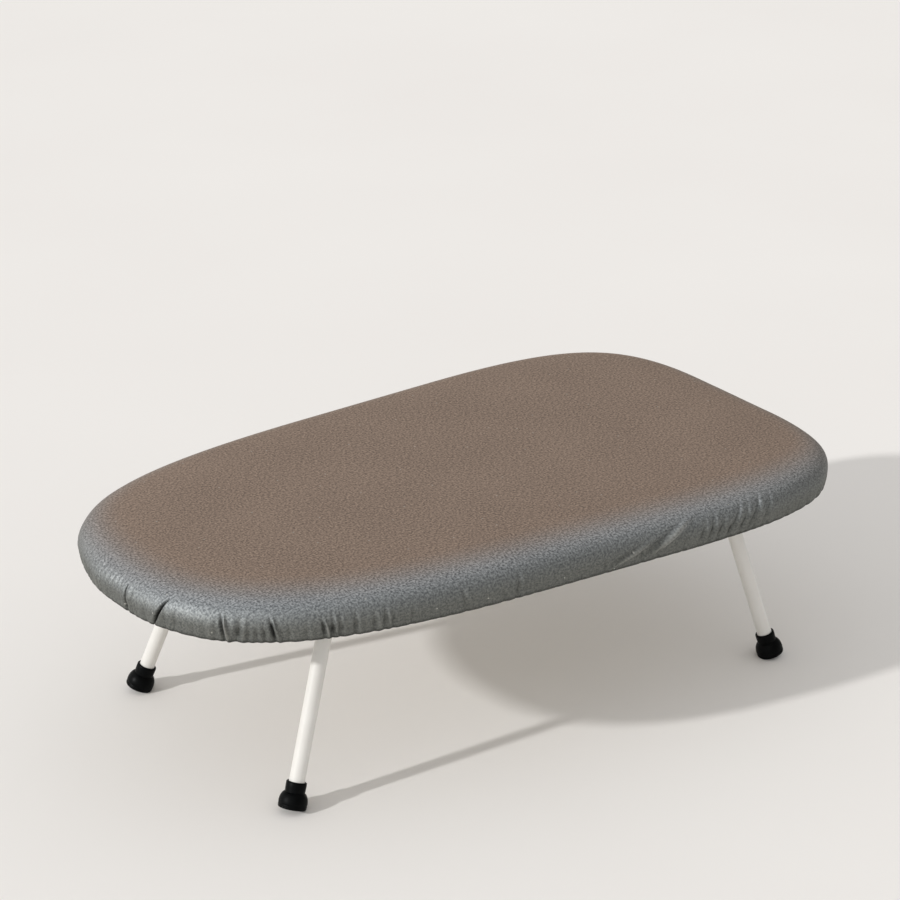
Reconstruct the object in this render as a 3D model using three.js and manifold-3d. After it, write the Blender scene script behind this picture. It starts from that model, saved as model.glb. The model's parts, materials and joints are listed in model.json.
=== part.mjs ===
// A tabletop ironing board: a padded steel mesh top under a gathered cloth cover, on two folding tube legs.
// Millimetres, +Z up, the rounded nose towards -X. The origin is on the table under the middle of the board.
import * as THREE from 'three';
import { mergeGeometries, mergeVertices } from 'three/addons/utils/BufferGeometryUtils.js';
import Module from 'manifold-3d';

const wasm = await Module();
wasm.setup();

// Plan of the board, measured over the cover
const BOARD_LENGTH = 600;
const NOSE_SIDE_START = 267.3; // from the nose end to where the straight side begins
const NOSE_SIDE_WIDTH = 341.6; // width of the board there
const TAIL_SIDE_END = 201.7; // from the tail end to where the straight side stops
const TAIL_SIDE_WIDTH = 355;
const TAIL_FLAT = 90.6; // straight stretch across the tail end
const NOSE_TIP_PULL = 121.9; // how far each curve keeps its end's direction
const NOSE_SIDE_PULL = 187.5;
const TAIL_SIDE_PULL = 150.1;
const TAIL_FLAT_PULL = 113.3;
const HALF_STEPS = 36; // stations along one half of the outline

// Heights and layers of the top
const STAND_HEIGHT = 175.6;
const COVER_EDGE_RADIUS = 21.9; // from the top face round to the side
const COVER_SIDE_HEIGHT = 2.1; // upright part of the side
const COVER_FOLD_RADIUS = 4; // where the skirt turns under
const COVER_THICKNESS = 1;
const EDGE_STEPS = 4; // facets round the upper edge
const HEM_WIDTH = 22;
const PAD_THICKNESS = 8;
const PAD_EDGE_THICKNESS = 2; // pad squeezed over the corner of the mesh
const PAD_BORDER_THICKNESS = 3.3; // pad hanging outside the rim
const PAD_BORDER_RISE = 5.4; // lower edge of the pad above the hem
const MESH_THICKNESS = 1.2;
const RIM_THICKNESS = 1.5;
const ELASTIC_WIDTH = 6;
const ELASTIC_THICKNESS = 1;

// Gathers of the skirt
const GATHER_HEIGHT = 13; // above the lower edge, where the folds begin
const GATHER_DEPTH_ENDS = 3;
const GATHER_DEPTH_SIDES = 1.4;

// Expanded mesh
const DIAMOND_LENGTH = 50;
const DIAMOND_WIDTH = 30;
const STRAND_WIDTH = 4;
const MESH_BORDER = 12; // plain edge outside the diamonds

// Legs
const TUBE_DIAMETER = 12;
const TUBE_WALL = 1;
const TUBE_BEND_RADIUS = 25;
const BEND_STEPS = 6;
const LEG_FLARE = THREE.MathUtils.degToRad(9.3); // each side of a leg spreads from the middle by this
const NOSE_HINGE_INSET = 134; // crossbar from the nose end
const NOSE_LEAN = THREE.MathUtils.degToRad(20.4);
const NOSE_FOOT_SPREAD = 233.8;
const TAIL_HINGE_INSET = 107.2; // crossbar from the tail end
const TAIL_LEAN = THREE.MathUtils.degToRad(14.4);
const TAIL_FOOT_SPREAD = 263.2;

// Rubber feet, from the sole up
const FOOT_BASE_STEP = 2.8; // the base stands out from the collar by this
const FOOT_BASE_HEIGHT = 8.5;
const FOOT_SHOULDER_HEIGHT = 4.5;
const FOOT_COLLAR_HEIGHT = 8.4;
const FOOT_COLLAR_WALL = 1.9;
const FOOT_FLOOR = 5; // rubber under the end of the tube
const FOOT_CORNER = 0.8;
const FOOT_FLAT_DEPTH = 1.2; // flat pressed where the slanted sole meets the table

// Hinge hardware under the mesh
const FOLD_CLEARANCE = 2.3; // folded foot to the underside of the mesh
const LIP_CLEARANCE = 1.5; // folded tube to the lip of the rail
const RAIL_THICKNESS = 1.5;
const RAIL_EAR_GAP = 0.7; // end of a strap to the lip of the rail
const STOP_WIDTH = 18;
const STOP_INSET = 1; // outer edge of the stop inside the outer face of the tube
const STOP_REACH = 18; // stop below the crossbar's axis
const BUSH_WALL = 2;
const BUSH_WIDTH = 16;
const BUSH_MARGIN = 6.6; // end of the bush to the start of the tube's bend
const STRAP_WIDTH = 13;
const STRAP_THICKNESS = 1.2;
const STRAP_EAR = 10;
const RIVET_DIAMETER = 4;
const RIVET_HEAD_OVERHANG = 1.7;
const RIVET_HEAD_HEIGHT = 1.8;
const RIVET_FLARE = 1; // the set end is wider by this all round

// Clearances
const SEAT_GAP = 0.3; // between pieces that rest on each other
const TURN_GAP = 0.3; // between a turning piece and its bearing or stop

// Sides of the round parts
const TUBE_SIDES = 14;
const FOOT_SIDES = 18;
const HINGE_SIDES = 20;
const RIVET_SIDES = 12;

// Heights above the table that follow from the layers
const EDGE_MIDDLE = STAND_HEIGHT - COVER_EDGE_RADIUS;
const FOLD_START = EDGE_MIDDLE - COVER_SIDE_HEIGHT;
const HEM_BOTTOM = FOLD_START - COVER_FOLD_RADIUS;
const HEM_TOP = HEM_BOTTOM + COVER_THICKNESS;
const PAD_TOP = STAND_HEIGHT - COVER_THICKNESS - SEAT_GAP;
const PAD_BOTTOM = PAD_TOP - PAD_THICKNESS;
const MESH_TOP = PAD_BOTTOM - SEAT_GAP;
const MESH_BOTTOM = MESH_TOP - MESH_THICKNESS;
const STEEL_TOP = MESH_BOTTOM - SEAT_GAP;

// The rim stands far enough in to leave room for the pad at its corner and outside it
const PAD_EDGE_RADIUS = COVER_EDGE_RADIUS - COVER_THICKNESS - SEAT_GAP;
const PAD_BORDER_INSET = COVER_THICKNESS + GATHER_DEPTH_ENDS + SEAT_GAP;
const CORNER_REACH = Math.sqrt((PAD_EDGE_RADIUS - PAD_EDGE_THICKNESS) ** 2 - (MESH_TOP - EDGE_MIDDLE) ** 2);
const RIM_INSET = Math.max(
  COVER_EDGE_RADIUS - CORNER_REACH,
  PAD_BORDER_INSET + PAD_BORDER_THICKNESS + SEAT_GAP,
);

// Radii of the turning parts and the feet
const TUBE_RADIUS = TUBE_DIAMETER / 2;
const BUSH_BORE = TUBE_RADIUS + TURN_GAP;
const BUSH_OUTSIDE = BUSH_BORE + BUSH_WALL;
const STRAP_INSIDE = BUSH_OUTSIDE + SEAT_GAP;
const STRAP_OUTSIDE = STRAP_INSIDE + STRAP_THICKNESS;
const FOOT_BORE = TUBE_RADIUS + SEAT_GAP;
const FOOT_COLLAR_RADIUS = FOOT_BORE + FOOT_COLLAR_WALL;
const FOOT_RADIUS = FOOT_COLLAR_RADIUS + FOOT_BASE_STEP;

// Heights above the crossbar's axis, which hangs low enough for the folded feet to clear the mesh
const WEB_TOP = FOLD_CLEARANCE + FOOT_RADIUS - SEAT_GAP;
const WEB_BOTTOM = WEB_TOP - RAIL_THICKNESS;
const LIP_BOTTOM = TUBE_RADIUS + LIP_CLEARANCE;
const EAR_TOP = WEB_BOTTOM - SEAT_GAP;
const EAR_BOTTOM = EAR_TOP - STRAP_THICKNESS;
const HINGE_HEIGHT = STEEL_TOP - WEB_TOP;

const FINISH = {
  cloth: { color: 0x82776a, roughness: 0.8, metalness: 0.1 },
  felt: { color: 0xd9d4c8, roughness: 0.95, metalness: 0 },
  elastic: { color: 0xe4e1da, roughness: 0.9, metalness: 0 },
  whiteCoat: { color: 0xeceae6, roughness: 0.4, metalness: 0 },
  nylon: { color: 0x2b2c2e, roughness: 0.5, metalness: 0 },
  steel: { color: 0xb4b6b8, roughness: 0.35, metalness: 1 },
  rubber: { color: 0x1a1b1d, roughness: 0.7, metalness: 0 },
};

const board = new THREE.Group();

function addPiece(parent, name, geometry, finish, x = 0, y = 0) {
  const mesh = new THREE.Mesh(geometry, new THREE.MeshStandardMaterial(finish));
  mesh.name = name;
  mesh.position.set(x, y, 0);
  parent.add(mesh);
}

// Solids for joins and cuts
function solidOf(geometry) {
  const bare = geometry.clone();
  bare.deleteAttribute('normal');
  bare.deleteAttribute('uv');
  const merged = mergeVertices(bare, 1e-4);
  return new wasm.Manifold(new wasm.Mesh({
    numProp: 3,
    vertProperties: new Float32Array(merged.attributes.position.array),
    triVerts: new Uint32Array(merged.index.array),
  }));
}

function geometryOf(solid) {
  const { vertProperties, triVerts } = solid.getMesh();
  const geometry = new THREE.BufferGeometry();
  geometry.setAttribute('position', new THREE.BufferAttribute(vertProperties, 3));
  geometry.setIndex(new THREE.BufferAttribute(triVerts, 1));
  geometry.computeVertexNormals();
  return geometry;
}

// Outline of the board: one half from the nose tip to the middle of the tail, then mirrored
function halfOutline() {
  const noseSide = new THREE.Vector2(NOSE_SIDE_START - BOARD_LENGTH / 2, NOSE_SIDE_WIDTH / 2);
  const tailSide = new THREE.Vector2(BOARD_LENGTH / 2 - TAIL_SIDE_END, TAIL_SIDE_WIDTH / 2);
  const along = tailSide.clone().sub(noseSide).normalize();
  const noseHandle = noseSide.clone().addScaledVector(along, -NOSE_SIDE_PULL);
  const tailHandle = tailSide.clone().addScaledVector(along, TAIL_SIDE_PULL);
  const nose = -BOARD_LENGTH / 2;
  const tail = BOARD_LENGTH / 2;
  const path = new THREE.Path();
  path.moveTo(nose, 0);
  path.bezierCurveTo(nose, NOSE_TIP_PULL, noseHandle.x, noseHandle.y, noseSide.x, noseSide.y);
  path.lineTo(tailSide.x, tailSide.y);
  path.bezierCurveTo(tailHandle.x, tailHandle.y, tail, TAIL_FLAT / 2 + TAIL_FLAT_PULL, tail, TAIL_FLAT / 2);
  path.lineTo(tail, 0);
  return path;
}

function outlineStations() {
  const path = halfOutline();
  const half = [];
  for (let i = 0; i <= HALF_STEPS; i += 1) {
    const travel = i / HALF_STEPS;
    const point = path.getPointAt(travel);
    const tangent = path.getTangentAt(travel);
    half.push({ point, inward: new THREE.Vector2(tangent.y, -tangent.x), travel, index: i });
  }
  half[0].inward.set(1, 0);
  half[HALF_STEPS].inward.set(-1, 0);
  const mirrored = half.map(({ point, inward, travel, index }) => ({
    point: new THREE.Vector2(point.x, -point.y),
    inward: new THREE.Vector2(inward.x, -inward.y),
    travel,
    index,
  }));
  return [...mirrored, ...half.slice(1, HALF_STEPS).reverse()];
}

const STATIONS = outlineStations();

// One loop of points round the board, drawn in from the outline by a distance
function loop(inset, height, fold = () => 0) {
  return STATIONS.map((station) => {
    const spot = station.point.clone().addScaledVector(station.inward, inset + fold(station, height));
    return new THREE.Vector3(spot.x, spot.y, height);
  });
}

// Skin through a stack of loops, closed by joining the last loop to the first or by a cap on each
function bodyThrough(loops, joinEnds) {
  const count = loops[0].length;
  const positions = loops.flat().flatMap((point) => point.toArray());
  const faces = [];
  const bands = joinEnds ? loops.length : loops.length - 1;
  for (let row = 0; row < bands; row += 1) {
    const upper = row * count;
    const lower = ((row + 1) % loops.length) * count;
    for (let i = 0; i < count; i += 1) {
      const next = (i + 1) % count;
      faces.push(upper + i, lower + i, lower + next, upper + i, lower + next, upper + next);
    }
  }
  if (!joinEnds) {
    const last = (loops.length - 1) * count;
    const topCentre = positions.length / 3;
    positions.push(0, 0, loops[0][0].z, 0, 0, loops.at(-1)[0].z);
    for (let i = 0; i < count; i += 1) {
      const next = (i + 1) % count;
      faces.push(topCentre, i, next, topCentre + 1, last + next, last + i);
    }
  }
  const geometry = new THREE.BufferGeometry();
  geometry.setAttribute('position', new THREE.Float32BufferAttribute(positions, 3));
  geometry.setIndex(faces);
  geometry.computeVertexNormals();
  return geometry;
}

// Loops of a rounded upper edge, from the flat top outwards and down as many facets as asked
function edgeLoops(radius, facets, fold) {
  const loops = [];
  for (let i = 0; i <= facets; i += 1) {
    const angle = (Math.PI / 2) * (1 - i / EDGE_STEPS);
    const inset = COVER_EDGE_RADIUS - radius * Math.cos(angle);
    loops.push(loop(inset, EDGE_MIDDLE + radius * Math.sin(angle), fold));
  }
  return loops;
}

// The skirt is pulled in at every second station, more so round the ends, and most at its lower edge
function gather({ travel, index }, height) {
  if (index % 2 === 0) return 0;
  const share = THREE.MathUtils.smoothstep(HEM_BOTTOM + GATHER_HEIGHT - height, 0, GATHER_HEIGHT);
  const atEnds = Math.abs(Math.cos(Math.PI * travel));
  return share * THREE.MathUtils.lerp(GATHER_DEPTH_SIDES, GATHER_DEPTH_ENDS, atEnds);
}

function coverGeometry() {
  const foldCorner = COVER_FOLD_RADIUS * (1 - Math.SQRT1_2);
  const outside = [
    ...edgeLoops(COVER_EDGE_RADIUS, EDGE_STEPS, gather),
    loop(0, FOLD_START, gather),
    loop(foldCorner, HEM_BOTTOM + foldCorner, gather),
    loop(COVER_FOLD_RADIUS, HEM_BOTTOM, gather),
    loop(HEM_WIDTH, HEM_BOTTOM),
  ];
  const inside = [
    loop(HEM_WIDTH, HEM_TOP),
    loop(COVER_FOLD_RADIUS, HEM_TOP, gather),
    loop(COVER_THICKNESS, FOLD_START, gather),
    ...edgeLoops(COVER_EDGE_RADIUS - COVER_THICKNESS, EDGE_STEPS, gather).reverse(),
  ];
  return bodyThrough([...outside, ...inside], false);
}

// Flat on the mesh, rounded under the cover's edge, and hanging over the rim
function padGeometry() {
  const borderBottom = HEM_TOP + PAD_BORDER_RISE;
  return bodyThrough([
    ...edgeLoops(PAD_EDGE_RADIUS, EDGE_STEPS - 1),
    loop(PAD_BORDER_INSET, HEM_BOTTOM + GATHER_HEIGHT),
    loop(PAD_BORDER_INSET, borderBottom),
    loop(RIM_INSET - SEAT_GAP, borderBottom),
    loop(RIM_INSET - SEAT_GAP, PAD_BOTTOM),
  ], false);
}

function hoopGeometry(inset, width, bottom, top) {
  return bodyThrough([
    loop(inset, top),
    loop(inset, bottom),
    loop(inset + width, bottom),
    loop(inset + width, top),
  ], true);
}

function outlineShape(inset) {
  return new THREE.Shape(loop(inset, 0).map(({ x, y }) => new THREE.Vector2(x, y)));
}

// True when every corner lies inside a convex loop that runs anticlockwise
function liesInside(corners, edge) {
  return corners.every((corner) => edge.every((from, i) => {
    const to = edge[(i + 1) % edge.length];
    return (to.x - from.x) * (corner.y - from.y) - (to.y - from.y) * (corner.x - from.x) > 0;
  }));
}

// Sheet with rows of diamond openings, each row half a diamond along from the last
function meshGeometry() {
  const tileInradius = (DIAMOND_LENGTH * DIAMOND_WIDTH) / (2 * Math.hypot(DIAMOND_LENGTH, DIAMOND_WIDTH));
  const open = 1 - STRAND_WIDTH / 2 / tileInradius;
  const halfLength = (DIAMOND_LENGTH / 2) * open;
  const halfWidth = (DIAMOND_WIDTH / 2) * open;
  const diamond = new THREE.CylinderGeometry(1, 1, MESH_THICKNESS * 3, 4).rotateX(Math.PI / 2);
  diamond.scale(halfLength, halfWidth, 1);
  const edge = loop(RIM_INSET + MESH_BORDER, 0);
  const columns = Math.ceil(BOARD_LENGTH / DIAMOND_LENGTH / 2);
  const rows = Math.ceil(TAIL_SIDE_WIDTH / DIAMOND_WIDTH) + 1;
  const openings = [];
  for (let row = -rows; row <= rows; row += 1) {
    const y = (row * DIAMOND_WIDTH) / 2;
    const shift = row % 2 === 0 ? 0 : DIAMOND_LENGTH / 2;
    for (let column = -columns; column <= columns; column += 1) {
      const x = column * DIAMOND_LENGTH + shift;
      const corners = [
        new THREE.Vector2(x - halfLength, y),
        new THREE.Vector2(x, y + halfWidth),
        new THREE.Vector2(x + halfLength, y),
        new THREE.Vector2(x, y - halfWidth),
      ];
      if (liesInside(corners, edge)) openings.push(diamond.clone().translate(x, y, MESH_BOTTOM));
    }
  }
  const sheet = new THREE.ExtrudeGeometry(outlineShape(RIM_INSET), {
    depth: MESH_THICKNESS,
    bevelEnabled: false,
  });
  sheet.translate(0, 0, MESH_BOTTOM);
  return geometryOf(solidOf(sheet).subtract(solidOf(mergeGeometries(openings))));
}

// Section drawn in X and Z, drawn out along Y and centred on it
function barAlongY(shape, width) {
  const geometry = new THREE.ExtrudeGeometry(shape, {
    depth: width,
    bevelEnabled: false,
    curveSegments: HINGE_SIDES / 2,
  });
  return geometry.rotateX(Math.PI / 2).translate(0, width / 2, 0);
}

// The two legs. Outward is the way along X that a leg leans.
const LEGS = [
  {
    name: 'nose',
    outward: -1,
    hingeX: NOSE_HINGE_INSET - BOARD_LENGTH / 2,
    lean: NOSE_LEAN,
    footSpread: NOSE_FOOT_SPREAD,
  },
  {
    name: 'tail',
    outward: 1,
    hingeX: BOARD_LENGTH / 2 - TAIL_HINGE_INSET,
    lean: TAIL_LEAN,
    footSpread: TAIL_FOOT_SPREAD,
  },
];
const SIDES = [
  { side: 'left', sideways: 1 },
  { side: 'right', sideways: -1 },
];

// Distance from the crossbar's axis to the middle of a sole, measured in the plane of the leg
function legReach({ lean }) {
  const tilt = Math.acos(Math.cos(lean) * Math.cos(LEG_FLARE));
  const soleRadius = FOOT_RADIUS - FOOT_CORNER;
  return (HINGE_HEIGHT + FOOT_FLAT_DEPTH - soleRadius * Math.sin(tilt)) / Math.cos(lean);
}

// Where the line of one side of a leg would meet the crossbar's axis, and where the bend to it starts
function legCorner(leg) {
  return leg.footSpread / 2 - legReach(leg) * Math.tan(LEG_FLARE);
}

function bendStart(leg) {
  return legCorner(leg) - TUBE_BEND_RADIUS * Math.tan((Math.PI / 2 - LEG_FLARE) / 2);
}

// Runs through given points with one straight step from each to the next
class StationCurve extends THREE.Curve {
  constructor(points) {
    super();
    this.points = points;
  }

  getPoint(t, target = new THREE.Vector3()) {
    const place = t * (this.points.length - 1);
    const first = Math.min(Math.max(Math.floor(place), 0), this.points.length - 2);
    return target.lerpVectors(this.points[first], this.points[first + 1], place - first);
  }

  getUtoTmapping(u) {
    return u;
  }
}

// Middle line of a leg's tube, in its own plane: up from one foot, across, and down to the other
function legLine(leg) {
  const tubeStart = FOOT_FLOOR + SEAT_GAP;
  const endY = leg.footSpread / 2 - tubeStart * Math.sin(LEG_FLARE);
  const endZ = -legReach(leg) + tubeStart * Math.cos(LEG_FLARE);
  const side = [new THREE.Vector3(0, endY, endZ)];
  for (let i = 0; i <= BEND_STEPS; i += 1) {
    const angle = THREE.MathUtils.lerp(LEG_FLARE, Math.PI / 2, i / BEND_STEPS);
    const y = bendStart(leg) + TUBE_BEND_RADIUS * Math.cos(angle);
    side.push(new THREE.Vector3(0, y, TUBE_BEND_RADIUS * (Math.sin(angle) - 1)));
  }
  const mirrored = side.map(({ y, z }) => new THREE.Vector3(0, -y, z));
  return [...side, ...mirrored.reverse()];
}

function legGeometry(leg) {
  const points = legLine(leg);
  const ring = new THREE.Shape().absarc(0, 0, TUBE_RADIUS, 0, Math.PI * 2);
  ring.holes.push(new THREE.Path().absarc(0, 0, TUBE_RADIUS - TUBE_WALL, 0, Math.PI * 2));
  return new THREE.ExtrudeGeometry(ring, {
    extrudePath: new StationCurve(points),
    steps: points.length - 1,
    curveSegments: TUBE_SIDES / 2,
  });
}

function footProfile() {
  const collarStart = FOOT_BASE_HEIGHT + FOOT_SHOULDER_HEIGHT;
  const top = collarStart + FOOT_COLLAR_HEIGHT;
  return [
    new THREE.Vector2(0, 0),
    new THREE.Vector2(FOOT_RADIUS - FOOT_CORNER, 0),
    new THREE.Vector2(FOOT_RADIUS, FOOT_CORNER),
    new THREE.Vector2(FOOT_RADIUS, FOOT_BASE_HEIGHT),
    new THREE.Vector2(FOOT_RADIUS - FOOT_BASE_STEP * 0.3, FOOT_BASE_HEIGHT + FOOT_SHOULDER_HEIGHT * 0.6),
    new THREE.Vector2(FOOT_COLLAR_RADIUS, collarStart),
    new THREE.Vector2(FOOT_COLLAR_RADIUS, top - FOOT_CORNER),
    new THREE.Vector2(FOOT_COLLAR_RADIUS - FOOT_CORNER, top),
    new THREE.Vector2(FOOT_BORE, top),
    new THREE.Vector2(FOOT_BORE, FOOT_FLOOR),
    new THREE.Vector2(0, FOOT_FLOOR),
  ];
}

// A foot square to its tube, with the corner that meets the table pressed flat
function footGeometry(leg, sideways, placement) {
  const foot = new THREE.LatheGeometry(footProfile(), FOOT_SIDES).rotateX(Math.PI / 2);
  foot.rotateX(sideways * LEG_FLARE).translate(0, (sideways * leg.footSpread) / 2, -legReach(leg));
  const table = new THREE.BoxGeometry(BOARD_LENGTH * 2, BOARD_LENGTH * 2, STAND_HEIGHT);
  table.translate(0, 0, -STAND_HEIGHT / 2).applyMatrix4(placement.clone().invert());
  return geometryOf(solidOf(foot).subtract(solidOf(table)));
}

// Rivet from its round head under a strap to its set end flush in the rail
function rivetGeometry() {
  const radius = RIVET_DIAMETER / 2;
  const head = radius + RIVET_HEAD_OVERHANG;
  const headTop = EAR_BOTTOM - SEAT_GAP;
  const profile = [
    new THREE.Vector2(0, headTop - RIVET_HEAD_HEIGHT),
    new THREE.Vector2(head * 0.6, headTop - RIVET_HEAD_HEIGHT * 0.8),
    new THREE.Vector2(head, headTop - RIVET_HEAD_HEIGHT * 0.25),
    new THREE.Vector2(head, headTop),
    new THREE.Vector2(radius, headTop),
    new THREE.Vector2(radius, WEB_BOTTOM),
    new THREE.Vector2(radius + RIVET_FLARE, WEB_TOP),
    new THREE.Vector2(0, WEB_TOP),
  ];
  return new THREE.LatheGeometry(profile, RIVET_SIDES).rotateX(Math.PI / 2);
}

// Hole for a rivet, straight through the strap and flared through the rail
function rivetHole() {
  const radius = RIVET_DIAMETER / 2 + SEAT_GAP;
  const profile = [
    new THREE.Vector2(0, 0),
    new THREE.Vector2(radius, 0),
    new THREE.Vector2(radius, WEB_BOTTOM),
    new THREE.Vector2(radius + RIVET_FLARE, WEB_TOP),
    new THREE.Vector2(radius + RIVET_FLARE, WEB_TOP + RAIL_THICKNESS),
    new THREE.Vector2(0, WEB_TOP + RAIL_THICKNESS),
  ];
  return new THREE.LatheGeometry(profile, RIVET_SIDES).rotateX(Math.PI / 2);
}

// A strap has one rivet on either side of the crossbar
function rivetEnds({ outward }) {
  const place = STRAP_OUTSIDE + STRAP_EAR / 2;
  return [
    { end: 'outer', x: outward * place },
    { end: 'inner', x: -outward * place },
  ];
}

function hingeY(leg, sideways) {
  return sideways * (bendStart(leg) - BUSH_MARGIN - BUSH_WIDTH / 2);
}

// Shallow channel across the underside, trimmed to the rim, with two tabs that the opened leg leans on
function railGeometry(leg) {
  const half = STRAP_OUTSIDE + STRAP_EAR + RAIL_EAR_GAP + RAIL_THICKNESS;
  const section = new THREE.Shape([
    new THREE.Vector2(-half, WEB_TOP),
    new THREE.Vector2(-half, LIP_BOTTOM),
    new THREE.Vector2(-half + RAIL_THICKNESS, LIP_BOTTOM),
    new THREE.Vector2(-half + RAIL_THICKNESS, WEB_BOTTOM),
    new THREE.Vector2(half - RAIL_THICKNESS, WEB_BOTTOM),
    new THREE.Vector2(half - RAIL_THICKNESS, LIP_BOTTOM),
    new THREE.Vector2(half, LIP_BOTTOM),
    new THREE.Vector2(half, WEB_TOP),
  ]);
  const insideRim = new THREE.ExtrudeGeometry(outlineShape(RIM_INSET + RIM_THICKNESS + SEAT_GAP), {
    depth: STAND_HEIGHT,
    bevelEnabled: false,
  });
  insideRim.translate(-leg.hingeX, 0, -HINGE_HEIGHT);
  let rail = solidOf(barAlongY(section, BOARD_LENGTH)).intersect(solidOf(insideRim));
  const tabMiddle = TUBE_RADIUS + TURN_GAP + RAIL_THICKNESS / 2;
  const webMiddle = (WEB_TOP + WEB_BOTTOM) / 2;
  const tabTop = (webMiddle - tabMiddle * Math.sin(leg.lean)) / Math.cos(leg.lean);
  const tabY = legCorner(leg) + TUBE_RADIUS - STOP_INSET - STOP_WIDTH / 2;
  for (const { sideways } of SIDES) {
    const tab = new THREE.BoxGeometry(RAIL_THICKNESS, STOP_WIDTH, tabTop + STOP_REACH);
    tab.translate(leg.outward * tabMiddle, sideways * tabY, (tabTop - STOP_REACH) / 2);
    rail = rail.add(solidOf(tab.rotateY(-leg.outward * leg.lean)));
    for (const { x } of rivetEnds(leg)) {
      rail = rail.subtract(solidOf(rivetHole().translate(x, hingeY(leg, sideways), 0)));
    }
  }
  return geometryOf(rail);
}

// Round below, flat above, and bored for the crossbar
function bushGeometry() {
  const shape = new THREE.Shape();
  shape.moveTo(BUSH_OUTSIDE, EAR_TOP);
  shape.lineTo(-BUSH_OUTSIDE, EAR_TOP);
  shape.absarc(0, 0, BUSH_OUTSIDE, Math.PI, Math.PI * 2);
  shape.lineTo(BUSH_OUTSIDE, EAR_TOP);
  shape.holes.push(new THREE.Path().absarc(0, 0, BUSH_BORE, 0, Math.PI * 2));
  return barAlongY(shape, BUSH_WIDTH);
}

// Saddle under a bush, with an ear on each side under the rail
function strapGeometry(leg) {
  const end = STRAP_OUTSIDE + STRAP_EAR;
  const shape = new THREE.Shape();
  shape.moveTo(-end, EAR_TOP);
  shape.lineTo(-end, EAR_BOTTOM);
  shape.lineTo(-STRAP_OUTSIDE, EAR_BOTTOM);
  shape.absarc(0, 0, STRAP_OUTSIDE, Math.PI, Math.PI * 2);
  shape.lineTo(STRAP_OUTSIDE, EAR_BOTTOM);
  shape.lineTo(end, EAR_BOTTOM);
  shape.lineTo(end, EAR_TOP);
  shape.lineTo(STRAP_INSIDE, EAR_TOP);
  shape.absarc(0, 0, STRAP_INSIDE, 0, Math.PI, true);
  shape.lineTo(-STRAP_INSIDE, EAR_TOP);
  shape.closePath();
  let strap = solidOf(barAlongY(shape, STRAP_WIDTH));
  for (const { x } of rivetEnds(leg)) {
    strap = strap.subtract(solidOf(rivetHole().translate(x, 0, 0)));
  }
  return geometryOf(strap);
}

function addTop() {
  const elasticBottom = HEM_TOP + SEAT_GAP;
  const elastic = hoopGeometry(
    HEM_WIDTH - ELASTIC_WIDTH,
    ELASTIC_WIDTH,
    elasticBottom,
    elasticBottom + ELASTIC_THICKNESS,
  );
  const rim = hoopGeometry(RIM_INSET, RIM_THICKNESS, HEM_TOP + SEAT_GAP, STEEL_TOP);
  addPiece(board, 'cover', coverGeometry(), FINISH.cloth);
  addPiece(board, 'pad', padGeometry(), FINISH.felt);
  addPiece(board, 'mesh_top', meshGeometry(), FINISH.whiteCoat);
  addPiece(board, 'rim_frame', rim, FINISH.whiteCoat);
  addPiece(board, 'hem_elastic', elastic, FINISH.elastic);
}

// Rail, bushes, straps and rivets of one leg, about the crossbar's axis
function addHinge(leg) {
  const hinge = new THREE.Group();
  hinge.position.set(leg.hingeX, 0, HINGE_HEIGHT);
  addPiece(hinge, `${leg.name}_cross_rail`, railGeometry(leg), FINISH.whiteCoat);
  for (const { side, sideways } of SIDES) {
    const y = hingeY(leg, sideways);
    addPiece(hinge, `bush_${leg.name}_${side}`, bushGeometry(), FINISH.nylon, 0, y);
    addPiece(hinge, `strap_${leg.name}_${side}`, strapGeometry(leg), FINISH.steel, 0, y);
    for (const { end, x } of rivetEnds(leg)) {
      addPiece(hinge, `rivet_${leg.name}_${side}_${end}`, rivetGeometry(), FINISH.steel, x, y);
    }
  }
  board.add(hinge);
}

// Tube and feet of one leg, in a group that leans about the crossbar's axis
function addLeg(leg) {
  const frame = new THREE.Group();
  frame.position.set(leg.hingeX, 0, HINGE_HEIGHT);
  frame.rotation.y = -leg.outward * leg.lean;
  frame.updateMatrix();
  addPiece(frame, `${leg.name}_leg`, legGeometry(leg), FINISH.whiteCoat);
  for (const { side, sideways } of SIDES) {
    addPiece(frame, `foot_${leg.name}_${side}`, footGeometry(leg, sideways, frame.matrix), FINISH.rubber);
  }
  board.add(frame);
}

addTop();
for (const leg of LEGS) {
  addHinge(leg);
  addLeg(leg);
}

export default board;
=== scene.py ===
"""Looks of a tabletop ironing board: a gathered cloth cover over a padded steel top on folding tube legs.

Metres, +Z up, the rounded nose towards -X. Travel is measured round the board's outline from the tip of the
nose, along the -Y side to the tail and back along the +Y side. Reach is measured down the cover's cloth
from where its flat top ends.
"""

import json
import logging
import math
from dataclasses import dataclass
from enum import Enum

import bmesh
import bpy
import numpy as np
from mathutils import Matrix, Vector


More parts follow.
